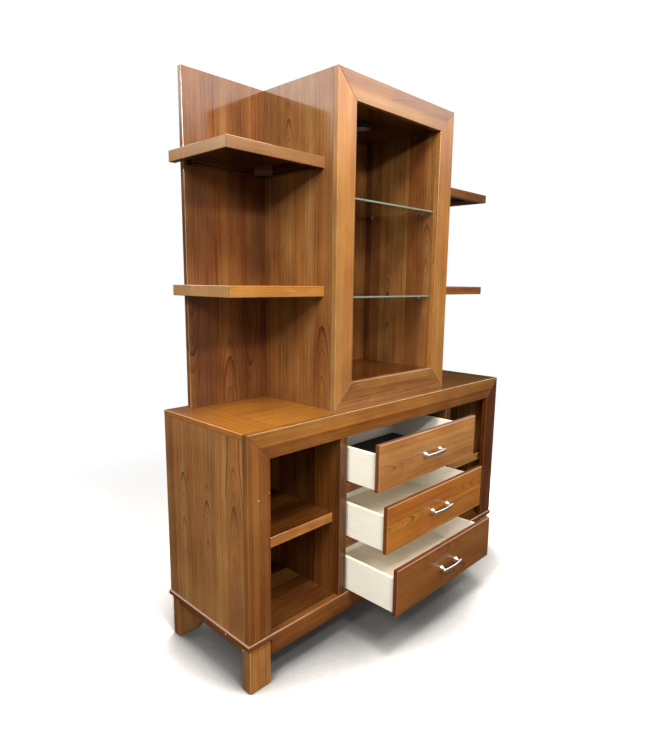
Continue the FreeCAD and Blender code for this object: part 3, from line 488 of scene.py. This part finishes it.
def metal(name, light, dark, rough, grain):
    """A metal surface with fine lines of the given size in mm, so that highlights streak along them. Real
    lines are a tenth of a millimetre wide, and are drawn 1 mm coarse or more so that they show."""
    material, tree, shader, place = new_finish(name)
    brushed = patches(tree, place, grain, 3.0, 0.6)
    tree.links.new(add(tree, "ValToRGB", brushed, stops=((0.3, dark), (0.7, light))),
                   shader.inputs["Base Color"])
    tree.links.new(add(tree, "Math", brushed, 0.12, rough, operation="MULTIPLY_ADD"),
                   shader.inputs["Roughness"])
    shader.inputs["Metallic"].default_value = 1.0
    tree.links.new(add(tree, "Bump", 0.1, 0.0001, None, brushed), shader.inputs["Normal"])
    return material


def moulded(name, light, dark, rough):
    """A moulded surface with faint specks about 3 mm apart, in its colour and its sheen."""
    material, tree, shader, place = new_finish(name)
    specks = patches(tree, place, (3, 3, 3), 3.0)
    tree.links.new(add(tree, "ValToRGB", specks, stops=((0.3, dark), (0.7, light))),
                   shader.inputs["Base Color"])
    tree.links.new(add(tree, "Math", specks, 0.1, rough, operation="MULTIPLY_ADD"),
                   shader.inputs["Roughness"])
    return material


# Rolled strip with a bright grey plate, whose lines run along it
dress(metal("zinc_plated_steel", "#b9bab8", "#94958f", 0.3, (1.5, 40, 1.5)), "centre_runners",
      *(f"drawer_{name}_track" for name in DRAWERS))
# Milky white, with a waxy sheen
dress(moulded("moulded_white_nylon", "#e9e8e0", "#d8d6cb", 0.4), "rail_glides")


# Drawer boxes: white melamine-faced board with rounded yellowish rims, and a thin creamy hardboard bottom
# that is let into grooves in the sides. The top drawer is lined with black felt, glued down.

material, tree, shader, place = new_finish("white_melamine_board")
# Streaks 2.5 mm high run along the board, and the upward faces of the rims are a warmer cream
streaks = patches(tree, place, (40, 40, 2.5), 3.0)
colour = add(tree, "ValToRGB", streaks, stops=((0.3, "#dcd9cc"), (0.7, "#e6e4da")))
upwards = add(tree, "SeparateXYZ", add(tree, "NewGeometry", out="Normal"), out="Z")
rim = add(tree, "ValToRGB", upwards, stops=((0.3, 0.0), (0.75, 1.0)))
tree.links.new(add(tree, "Mix", rim, colour, linear("#f3ebc6"), data_type="RGBA"),
               shader.inputs["Base Color"])
shader.inputs["Roughness"].default_value = 0.42
tree.links.new(add(tree, "Bump", 0.1, 0.0002, None, streaks), shader.inputs["Normal"])
dress(material, *(f"drawer_{name}_walls" for name in DRAWERS))

material, tree, shader, place = new_finish("painted_hardboard")
# Broad soft mottle, as a thinly painted bottom has
mottle = patches(tree, place, (30, 90, 30), 4.0)
tree.links.new(add(tree, "ValToRGB", mottle, stops=((0.3, "#dccfb8"), (0.7, "#e8ddc8"))),
               shader.inputs["Base Color"])
shader.inputs["Roughness"].default_value = 0.5
dress(material, *(f"drawer_{name}_bottom" for name in DRAWERS))

material, tree, shader, place = new_finish("black_felt")
# Matted fibres, drawn about 1 mm coarse so that they show, with a faint sheen
fuzz = patches(tree, place, (1.2, 1.2, 1.2), 4.0, 0.7)
tree.links.new(add(tree, "ValToRGB", fuzz, stops=((0.3, "#030304"), (0.75, "#090a0c"))),
               shader.inputs["Base Color"])
shader.inputs["Roughness"].default_value = 0.95
shader.inputs["Sheen Weight"].default_value = 0.05
shader.inputs["Specular IOR Level"].default_value = 0.1
tree.links.new(add(tree, "Bump", 0.5, 0.0006, None, fuzz), shader.inputs["Normal"])
dress(material, "drawer_top_lining")


# Drawer fronts: solid boards with their grain across and all edges rounded over, screwed on from inside.
# Their end grain has taken more stain than their faces, and the lacquer on them is duller.

FRONT_EDGE = "#4e2413"
FRONT_GLOSS = 0.28

dress(wood("front_top", "ZYX", (
    (500, 664, -454, 3.25, 0.05),
    (705, 480, -100, 5.0, 0.2),
), face=-241.5, seed=27.0, stain_and_painted_shading=(1.22, 1.44, 2.31), edge=FRONT_EDGE, gloss=FRONT_GLOSS),
    "drawer_top_front")
dress(wood("front_middle", "ZYX", (
    (300, 473, -435, 3.87, 0.2),
    (489, 504, 493, -3.87, 0.05),
), face=-283.5, seed=28.0, tone=0.1, stain_and_painted_shading=(1.09, 0.95, 0.66), edge=FRONT_EDGE, gloss=FRONT_GLOSS),
    "drawer_middle_front")
dress(wood("front_bottom", "ZYX", (
    (100, 209, -200, 4.6, -0.05),
    (262, 325, -275, 4.0, 0.1),
), face=-332.5, seed=29.0, stain_and_painted_shading=(0.73, 0.68, 0.73), edge=FRONT_EDGE, gloss=FRONT_GLOSS),
    "drawer_bottom_front")


# Handles: cast zinc with a satin chrome plate. An arched bar, grooved along its front, sits on two posts
# that flare into faceted square feet. Screws from inside the drawer hold it.

BAR_HALF = 0.061
BAR_BOW = 0.006
BAR_THICK = 0.005
BAR_HIGH = 0.012
BAR_STEPS = 49
BAR_POINTS = 36
BAR_CORNER = 5.0
GROOVE_DEEP = 0.0005
GROOVE_SPREAD = 0.32
END_TAPER = 0.25
END_POWER = 60
POST_APART = 0.096
POST_POINTS = 40
POST_CORNER = 9.0
SMOOTH_BELOW = 24
# How far in front of the drawer each loop of a foot and its post lies, and half its width, in mm
FOOT_PROFILE = (
    (0.0, 7.6), (0.4, 8.0), (3.6, 8.0), (4.2, 7.6),
    (10.4, 4.9), (11.0, 4.2), (12.0, 4.0), (27.0, 4.0),
)


def rounded_square(count, power):
    """A loop round a square of half size one: cosine and sine, each raised to two over the power."""
    angle = np.linspace(0, 2 * math.pi, count, endpoint=False) + math.pi / count
    c, s = np.cos(angle), np.sin(angle)
    return np.sign(c) * np.abs(c) ** (2 / power), np.sign(s) * np.abs(s) ** (2 / power)


def skin(name, rings, material):
    """A closed skin over an array of loops by points by xyz in metres. Each point joins the next one round
    its loop and the same two of the next loop, and one face closes the first loop and one the last."""
    loops, count = rings.shape[:2]
    loop, point = np.meshgrid(np.arange(loops - 1) * count, np.arange(count), indexing="ij")
    ahead = (point + 1) % count
    quads = np.stack([loop + point, loop + ahead, loop + count + ahead, loop + count + point], axis=-1)
    ends = [np.arange(count)[::-1].tolist(), (np.arange(count) + (loops - 1) * count).tolist()]
    data = bpy.data.meshes.new(name)
    data.from_pydata(rings.reshape(-1, 3).tolist(), [], quads.reshape(-1, 4).tolist() + ends)
    mesh = bmesh.new()
    mesh.from_mesh(data)
    bmesh.ops.recalc_face_normals(mesh, faces=mesh.faces)
    mesh.to_mesh(data)
    mesh.free()
    data.materials.append(material)
    piece = bpy.data.objects.new(name, data)
    bpy.context.collection.objects.link(piece)
    return piece


def joined(name, pieces):
    """Joins pieces into one object under one name."""
    bpy.ops.object.select_all(action="DESELECT")
    for piece in pieces:
        piece.select_set(True)
    bpy.context.view_layer.objects.active = pieces[0]
    bpy.ops.object.join()
    pieces[0].name = name
    pieces[0].data.name = name
    return pieces[0]


def smoothed(piece, angle):
    """Smooth shading, with hard edges above an angle in degrees."""
    piece.data.shade_smooth()
    piece.data.set_sharp_from_angle(angle=math.radians(angle))


def surface(x, y, z):
    """Puts three arrays together as loops by points by xyz."""
    return np.stack(np.broadcast_arrays(x, y, z), axis=-1)


# A cool bright plate, brushed along the bar, which draws its highlights out
chrome = metal("satin_chrome_plate", "#e2dfd8", "#c2beb6", 0.28, (30, 1.0, 1.0))
dress(chrome, *(f"drawer_{name}_handle" for name in DRAWERS))

for name in DRAWERS:
    node = f"drawer_{name}_handle"
    low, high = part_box(node)
    centre_z = (low.z + high.z) / 2
    # The bar is a rounded oblong carried along a circular arc. A bell-shaped dip makes its groove, and its
    # height shrinks by the end taper times a high power of how far along it is.
    inward, height = rounded_square(BAR_POINTS, BAR_CORNER)
    along = np.linspace(-BAR_HALF, BAR_HALF, BAR_STEPS)[:, None]
    radius = (BAR_HALF ** 2 + BAR_BOW ** 2) / (2 * BAR_BOW)
    arc = low.y + radius - np.sqrt(radius ** 2 - along ** 2)
    groove = GROOVE_DEEP * np.exp(-(height / GROOVE_SPREAD) ** 2) * (inward < 0)
    end = 1 - END_TAPER * (np.abs(along) / BAR_HALF) ** END_POWER
    pieces = [skin("bar", surface(
        along,
        arc + BAR_THICK / 2 * (1 + inward) + groove,
        centre_z + BAR_HIGH / 2 * height * end,
    ), chrome)]
    width, height = rounded_square(POST_POINTS, POST_CORNER)
    away, half = (np.array(FOOT_PROFILE).T / 1000)[:, :, None]
    for side in (-1, 1):
        pieces.append(skin("foot", surface(
            side * POST_APART / 2 + half * width, high.y - away, centre_z + half * height), chrome))
    handle = joined(f"handle_{name}_detailed", pieces)
    smoothed(handle, SMOOTH_BELOW)
    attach(handle, f"drawer_{name}")
    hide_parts(node)


# Hutch case: two skins of veneered board on each side, a back, a floor and a ceiling under the top, behind
# a mitred frame of solid wood. It stands on the counter. The left side, the linings and the left stile have
# their arches where the photo shows them.

HUTCH_HALF = 337.0
HUTCH_FRONT = -58.0
LINING_HALF = 251.0

dress(wood("hutch_side_left", "YXZ", (
    (-40, 6, 781, 5.0, -0.1),
    (48, -160, 1400, 6.0, 0.2),
    (128, 177, 1564, 3.92, 0.1),
    (222, 420, 1400, 6.0, -0.05),
    (290, 60, 1400, 5.0, -0.25),
), face=-HUTCH_HALF, seed=14.0, tone=-0.25, stain_and_painted_shading=(1.04, 1.32, 2.22)), "hutch_side_left")
dress(wood("hutch_side_right", "YXZ", seed=15.0, tone=-0.25, stain_and_painted_shading=(0.93, 1.13, 1.85)), "hutch_side_right")
dress(wood("hutch_linings", "YXZ", (
    (-40, -9, 1246, 3.9, 0.1),
    (14, -150, 1400, 5.0, -0.35),
    (91, 185, 972, 3.92, 0.35),
    (236, 420, 1400, 6.0, -0.1),
    (293, 100, 1400, 5.0, -0.5),
), face=LINING_HALF, seed=20.0, tone=-0.4, stain_and_painted_shading=(0.94, 1.12, 1.86)), "hutch_linings")
dress(wood("hutch_back", "XYZ", width=115.0, seed=21.0, tone=-0.5, stain_and_painted_shading=(1.2, 1.45, 2.18)), "hutch_back")
# The case floor, ceiling and top are darkened by stain and tone, as painted shade inside the case
dress(wood("hutch_floor", "YZX", seed=22.0, tone=-0.7, stain_and_painted_shading=(0.69, 0.68, 0.69)),
      "hutch_floor", "hutch_ceiling", "hutch_top")
dress(wood("hutch_stile_left", "XYZ", (
    (-400, -620, 1400, 9.0, 0.3),
    (-285, -100, 1400, 7.0, 0.15),
), face=HUTCH_FRONT, seed=16.0, tone=0.1, lines=0.5, gloss=0.22, stain_and_painted_shading=(0.95, 1.07, 1.56)),
    "hutch_stile_left")
dress(wood("hutch_stile_right", "XYZ", seed=17.0, tone=0.5, lines=0.5, gloss=0.3, stain_and_painted_shading=(0.98, 1.05, 1.3),
           chips=((250, HUTCH_FRONT, 1180, 2.0),)), "hutch_stile_right")
dress(wood("hutch_rail_top", "ZYX", width=50.0, seed=18.0, lines=0.5, stain_and_painted_shading=(0.78, 0.85, 1.0)),
      "hutch_rail_top")
dress(wood("hutch_rail_bottom", "ZYX", width=70.0, seed=19.0, lines=0.6, stain_and_painted_shading=(0.93, 1.16, 1.91)),
      "hutch_rail_bottom")


# Glass shelves and their pins: 6 mm float glass with ground edges, laid loose on turned nickel-plated pins.
# The pins can be moved, so the linings are drilled above and below each one, every 50 mm.

material, tree, shader, place = new_finish("float_glass")
# Clear through the faces, with only a breath of green, and a closed grey-green at the edges
facing = add(tree, "SeparateXYZ", add(tree, "NewGeometry", out="Normal"), out="Z")
flat = add(tree, "Math", add(tree, "Math", facing, operation="ABSOLUTE"), 0.9, operation="GREATER_THAN")
tree.links.new(add(tree, "Mix", flat, linear("#6d7a70"), linear("#f4fbf7"), data_type="RGBA"),
               shader.inputs["Base Color"])
tree.links.new(flat, shader.inputs["Transmission Weight"])
shader.inputs["Roughness"].default_value = 0.02
shader.inputs["IOR"].default_value = 1.45
dress(material, "glass_shelves")
# Turned brass with a warm silvery plate
dress(metal("nickel_plated_brass", "#c9c5ba", "#a39f94", 0.25, (4, 1, 1)), "shelf_pins")

# Old wax and dust, nearly black brown and dull, as it gathers in holes and open joints. On the pin holes
# it is also painted shade, standing for the dark inside of each hole.
dust_and_hole_shade, tree, shader, place = new_finish("dark_wax_dust_and_hole_shade")
uneven = patches(tree, place, (2, 2, 9), 2.0)
tree.links.new(add(tree, "ValToRGB", uneven, stops=((0.3, "#1d0c05"), (0.7, "#3c1d0d"))),
               shader.inputs["Base Color"])
shader.inputs["Roughness"].default_value = 0.6

PIN_HOLE = 2.6
HOLE_POINTS = 24
# Each loop of a hole's rim and dish, as a share of its radius and how far it stands off the lining, in mm
HOLE_PROFILE = ((1.12, -0.05), (1.06, 0.12), (1.0, 0.16), (0.86, 0.06), (0.3, 0.05), (0.05, 0.05))
PIN_LEVELS = (1232.8, 1568.8)
PIN_PLACES = (16.5, 279.5)
HOLE_STEPS = (-100, -50, 50, 100)


def pin_hole(x, y, z, outward):
    """A dark dish with a worn rim, painted shade that stands for the dark inside of the hole: circles whose
    radius and height follow the profile, on a face that looks along X to the side given by outward."""
    angle = np.linspace(0, 2 * math.pi, HOLE_POINTS, endpoint=False)
    share, proud = np.array(HOLE_PROFILE).T[:, :, None]
    return skin("hole", surface(
        x + outward * proud,
        y + PIN_HOLE * share * np.cos(angle),
        z + PIN_HOLE * share * np.sin(angle),
    ) / 1000, dust_and_hole_shade)


holes = joined("spare_pin_holes", [
    pin_hole(side * LINING_HALF, y, z + step, -side)
    for side in (-1, 1) for z in PIN_LEVELS for y in PIN_PLACES for step in HOLE_STEPS
])
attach(holes, "cabinet")


# Lamp: a round housing of brown-black moulded plastic, screwed up under the ceiling, which holds a lens of
# frosted glass. It isn't lit, so only a dim grey disc shows.

dress(moulded("moulded_black_plastic", "#1d1815", "#100d0b", 0.45), "lamp_housing")
dress(moulded("frosted_glass", "#a9acaa", "#979a97", 0.25), "lamp_lens")


# Wings and side shelves: flat boards beside the case, and shelves with a deep lipping of solid wood. Cleats
# and corner blocks, screwed to wing and case in the shadow under each shelf, carry it.

WING_FACE = 310.5
SHELF_TOPS = (1697.0, 1278.0)
PAINTED_UNDERSIDE_SHADE = (0.26, 0.2, 0.16)

dress(wood("wing_left", "XYZ", (
    (-700, -662, 1316, -3.92, 0.05),
    (-605, -350, 1400, 6.0, 0.0),
    (-560, -508, 722, 8.0, 0.15),
    (-470, -412, 1259, -3.92, -0.05),
    (-368, -520, 1400, 5.0, -0.3),
), face=WING_FACE, seed=23.0, tone=-0.6, arris_wear_and_highlight=0.4, stain_and_painted_shading=(0.93, 1.1, 1.95)), "wing_left")
dress(wood("wing_right", "XYZ", seed=24.0, tone=-0.6, stain_and_painted_shading=(0.88, 1.01, 1.56)), "wing_right")
# The right-hand shelves are painted darker than the left as painted shade, and undersides darker still
for shelf, seed, stain_and_painted_shading in (
    ("upper_left", 25.0, (0.72, 0.88, 1.75)),
    ("upper_right", 25.0, (0.6, 0.56, 0.9)),
    ("lower_left", 25.8, (0.9, 0.92, 1.0)),
    ("lower_right", 25.5, (0.68, 0.6, 0.68)),
):
    dress(wood("side_shelf_" + shelf, "YZX", seed=seed, tone=0.3, lines=0.5, stain_and_painted_shading=stain_and_painted_shading, painted_pale_left=0.4,
               faces=((DOWN, PAINTED_UNDERSIDE_SHADE),)), "side_shelf_" + shelf)
# The cleats are darkened by stain and tone, as painted shade under the shelves
dress(wood("cleats", "ZYX", width=60.0, seed=26.0, tone=-0.6, stain_and_painted_shading=(0.4, 0.4, 0.4)), "shelf_cleats")

# Blackened steel, worn a little brighter in patches about 1 mm across
black_steel, tree, shader, place = new_finish("blackened_steel")
worn = patches(tree, place, (1, 1, 1), 3.0)
tree.links.new(add(tree, "ValToRGB", worn, stops=((0.35, "#120d0b"), (0.75, "#3a302a"))),
               shader.inputs["Base Color"])
tree.links.new(add(tree, "Math", worn, 0.2, 0.3, operation="MULTIPLY_ADD"), shader.inputs["Roughness"])
shader.inputs["Metallic"].default_value = 0.8

HEAD_RADIUS = 4.0
HEAD_HEIGHT = 1.0
HEAD_LOOPS = 12
HEAD_POINTS = 48
CROSS_HALF = 0.55
CROSS_REACH = 0.6
CROSS_DEEP = 0.9
HEAD_BELOW_TOP = 25.0
CLEAT_FRONT = 292.5
CLEAT_SIDE = 355.0
ALONG_WING = (644, 415)
ALONG_CASE = (235, 107)


def screw_head(centre, outward):
    """A low dome on a polar grid. Its height is that of the head times one less the square of the radius,
    less the recess where the point lies on either bar of the cross."""
    outward = np.array(outward, float)
    aside = np.cross(outward, (0.0, 0.0, 1.0))
    radius = np.linspace(0.05, 1.0, HEAD_LOOPS)[:, None]
    angle = np.linspace(0, 2 * math.pi, HEAD_POINTS, endpoint=False)
    x, z = HEAD_RADIUS * radius * np.cos(angle), HEAD_RADIUS * radius * np.sin(angle)
    crossed = (np.minimum(np.abs(x), np.abs(z)) < CROSS_HALF) & (radius < CROSS_REACH)
    height = HEAD_HEIGHT * (1 - radius ** 2) - CROSS_DEEP * crossed
    points = np.array(centre) + x[..., None] * aside + height[..., None] * outward
    points[..., 2] += z
    return skin("screw", points / 1000, black_steel)


heads = []
for side in (-1, 1):
    for top in SHELF_TOPS:
        for x in ALONG_WING:
            heads.append(screw_head((side * x, CLEAT_FRONT, top - HEAD_BELOW_TOP), (0, -1, 0)))
        for y in ALONG_CASE:
            heads.append(screw_head((side * CLEAT_SIDE, y, top - HEAD_BELOW_TOP), (side, 0, 0)))
screws = joined("cleat_screws", heads)
smoothed(screws, 40)
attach(screws, "cabinet")


# Joint lines: where mitres, lippings and boards meet, old wax and dust show as a thin dark line. Each is a
# flat strip with chamfered edges, which stands 0.12 mm off a face and up to 0.8 mm off a rounded corner.

COUNTER = 850.0
ON_COUNTER = 850.6
TOP_UNDER = 832.0
HUTCH_TOP = 1966.0
THIN, WIDE = 1.1, 1.6
CLOSE = 0.12
FRONT, OUTER, CORNER = (0, -1, 0), (1, 0, 0), (1, -1, 0)
# Start, end, the way the face looks, the line's width and how far it stands off, for the right half
JOINTS = [
    # Mitres of the case's frame and the buffet's frame, and of the ledge and the shelves' lippings
    ((HUTCH_HALF, HUTCH_FRONT, HUTCH_TOP), (248, HUTCH_FRONT, 1879), FRONT, THIN, CLOSE),
    ((HUTCH_HALF, HUTCH_FRONT, COUNTER), (248, HUTCH_FRONT, 942), FRONT, THIN, CLOSE),
    ((BASE_HALF, BASE_FRONT, COUNTER), (662, BASE_FRONT, 762), FRONT, THIN, CLOSE),
    ((754.8, -102.3, 164), (754.8, -102.3, 171.5), CORNER, 1.4, 0.6),
    *(((729.4, 1.1, top - 33.5), (729.4, 1.1, top - 1.5), CORNER, WIDE, 0.8) for top in SHELF_TOPS),
    # The buffet's side against its stile and top, and the case's side against its stile
    ((BASE_HALF, -79.5, 178), (BASE_HALF, -79.5, TOP_UNDER), OUTER, THIN, CLOSE),
    ((BASE_HALF, -79.5, TOP_UNDER), (BASE_HALF, 362, TOP_UNDER), OUTER, 1.5, CLOSE),
    ((HUTCH_HALF, -36, 852), (HUTCH_HALF, -36, 1965), OUTER, 1.2, CLOSE),
    # Wing and case where they stand on the counter
    ((675, WING_FACE, ON_COUNTER), (338, WING_FACE, ON_COUNTER), FRONT, WIDE, CLOSE),
    ((HUTCH_HALF, -35, ON_COUNTER), (HUTCH_HALF, 309, ON_COUNTER), OUTER, WIDE, CLOSE),
]
# A line's section, as shares of its width and of how far it stands off
LINE_SECTION = np.array(((-0.5, -0.2), (-0.35, 1.0), (0.35, 1.0), (0.5, -0.2)))


def joint_line(start, end, outward, wide, proud, side=1):
    """A strip from start to end in mm on a face that looks outward, mirrored for side -1. Its section is
    carried straight along, with its width square to both the run and the outward direction."""
    start, end, outward = (np.array(point, float) * (side, 1, 1) for point in (start, end, outward))
    across = np.cross(end - start, outward)
    across /= np.linalg.norm(across)
    outward /= np.linalg.norm(outward)
    section = LINE_SECTION[:, :1] * wide * across + LINE_SECTION[:, 1:] * proud * outward
    return skin("joint", np.stack([start + section, end + section]) / 1000, dust_and_hole_shade)


strips = [joint_line(*joint, side) for side in (-1, 1) for joint in JOINTS]
strips.append(joint_line((-336, HUTCH_FRONT, 850.7), (336, HUTCH_FRONT, 850.7), FRONT, WIDE, CLOSE))
joints = joined("mitre_joints", strips)
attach(joints, "cabinet")


# Stage: a pale floor that stays white to the camera but keeps the piece's shadow from the lamps, darkened
# further near the piece by ambient occlusion as a painted contact shadow, and a white background.
# Everything but the camera meets a dull floor, and the lacquer and metal mirror a plain bright room.

FLOOR_HALF = 14.0
FLOOR_GAIN = 2.6
PAINTED_SHADOW_REACH = 0.6
FADE_REACH = 4000.0
WHITE = (1.0, 1.0, 1.0, 1.0)
floor_mesh = bpy.data.meshes.new("stage_floor")
floor_mesh.from_pydata(
    [(x * FLOOR_HALF, y * FLOOR_HALF, 0.0) for x, y in ((-1, -1), (1, -1), (1, 1), (-1, 1))],
    [],
    [(0, 1, 2, 3)],
)
floor = bpy.data.objects.new("stage_floor", floor_mesh)
bpy.context.collection.objects.link(floor)
material, tree, shader, place = new_finish("matt_pale_floor")
shader.inputs["Base Color"].default_value = linear("#3f3d3b")
shader.inputs["Roughness"].default_value = 0.8
shader.inputs["Specular IOR Level"].default_value = 0.1
# Between about 1.2 and 2.5 m from the middle the shaded floor gives way to plain white
away = add(tree, "VectorMath", place, operation="LENGTH")
away = add(tree, "Math", away, 1 / FADE_REACH, operation="MULTIPLY")
away = add(tree, "ValToRGB", away, stops=((0.3, 0.0), (0.62, 1.0)))
# Painted contact shadow: the floor's colour darkens where ambient occlusion finds the piece close by
painted_contact_shadow_ao = add(tree, "AmbientOcclusion", None, PAINTED_SHADOW_REACH, out="AO", samples=16)
painted_contact_shadow = add(tree, "ValToRGB", painted_contact_shadow_ao, stops=((0.35, "#424242"), (0.66, "#8a8a8a"), (0.97, "#ffffff")))
bright = (FLOOR_GAIN, FLOOR_GAIN, FLOOR_GAIN, 1.0)
bright = add(tree, "Mix", 1.0, painted_contact_shadow, bright, data_type="RGBA", blend_type="MULTIPLY")
pale = add(tree, "MixShader", away, add(tree, "BsdfDiffuse", bright), add(tree, "Emission", WHITE, 1.0))
seen = add(tree, "LightPath", out="Is Camera Ray")
choice = add(tree, "MixShader", seen, shader.outputs[0], pale)
tree.links.new(choice, tree.nodes["Material Output"].inputs["Surface"])
floor_mesh.materials.append(material)

ROOM_LIGHT = 0.13
ROOM_MIRRORED = 7.0
world = bpy.data.worlds.new("world")
scene.world = world
world.use_nodes = True
tree = world.node_tree
direction = add(tree, "TexCoord", out="Generated")
_, behind, height = add(tree, "SeparateXYZ", direction, out="all")
# Soft light grows with height, and is stronger from behind the piece
ambient = add(tree, "ValToRGB", height, stops=((0.0, 0.15), (0.6, 1.0)))
ambient = add(tree, "Math", ambient, ROOM_LIGHT, operation="MULTIPLY")
behind = add(tree, "Math", add(tree, "Math", behind, 0.0, operation="MAXIMUM"), 3.0, 1.0,
             operation="MULTIPLY_ADD")
soft = tree.nodes["Background"]
soft.inputs["Color"].default_value = (1.0, 0.985, 0.96, 1.0)
tree.links.new(add(tree, "Math", ambient, behind, operation="MULTIPLY"), soft.inputs["Strength"])
# What gloss mirrors is dark near the floor, bright from counter height up, and dark far at the back right
room = add(tree, "ValToRGB", height, stops=((0.0, 0.02), (0.2, 0.04), (0.28, 0.7), (0.42, 1.0)))
beyond = add(tree, "VectorMath", direction, (0.7, 0.7, 0.0), operation="DOT_PRODUCT")
beyond = add(tree, "ValToRGB", beyond, stops=((0.5, 1.0), (0.9, 0.12)))
room = add(tree, "Math", room, beyond, operation="MULTIPLY")
room = add(tree, "Math", room, ROOM_MIRRORED, operation="MULTIPLY")
mirrored = add(tree, "Background", (1.0, 0.95, 0.92, 1.0), room)
white = add(tree, "Background", WHITE, 1.0)
lit = add(tree, "MixShader", add(tree, "LightPath", out="Is Glossy Ray"), soft.outputs[0], mirrored)
seen = add(tree, "Math", add(tree, "LightPath", out="Is Camera Ray"),
           add(tree, "LightPath", out="Is Transmission Ray"), operation="MAXIMUM")
tree.links.new(add(tree, "MixShader", seen, lit, white), tree.nodes["World Output"].inputs["Surface"])

LAMP_COLOUR = (1.0, 0.96, 0.9)


def lamp(name, place, aim, size, watts, mirrored=True, spread=180):
    """An oblong soft lamp aimed at a point. Lamps that aren't mirrored leave no highlight in the gloss."""
    data = bpy.data.lights.new(name, "AREA")
    data.shape = "RECTANGLE"
    data.size, data.size_y = size
    data.energy = watts
    data.color = LAMP_COLOUR
    data.spread = math.radians(spread)
    light = bpy.data.objects.new(name, data)
    bpy.context.collection.objects.link(light)
    light.location = place
    light.rotation_euler = (Vector(aim) - Vector(place)).to_track_quat("-Z", "Y").to_euler()
    light.visible_glossy = mirrored


lamp("key", (-1.1, -1.9, 2.45), (-0.1, 0, 1.2), (0.3, 0.2), 41)
lamp("overhead", (-0.6, -1.1, 3.0), (-0.1, -0.2, 0.6), (0.6, 0.4), 62)
lamp("left_high", (-2.8, -0.9, 2.4), (-0.3, 0, 0.6), (0.7, 0.7), 64)
lamp("left_low", (-3.2, -0.8, 0.9), (-0.3, 0, 0.5), (1.6, 1.6), 9, False)
lamp("front_right", (0.9, -2.9, 1.5), (0.1, 0, 0.4), (0.8, 0.8), 28, False)
lamp("fill", (-1.4, -1.7, 0.8), (0.1, -0.25, 0.35), (0.5, 0.5), 3, False, 70)
# Small lamps inside the drawer bank stand for the light that bounces between the white boxes
for name, y, z, watts in (
    ("bottom", -0.2, 0.38, 0.27),
    ("middle", -0.16, 0.586, 0.4),
    ("top", -0.12, 0.75, 0.2),
):
    lamp("bounce_" + name, (0, y, z), (0, y, 0), (0.5, 0.1), watts, False)
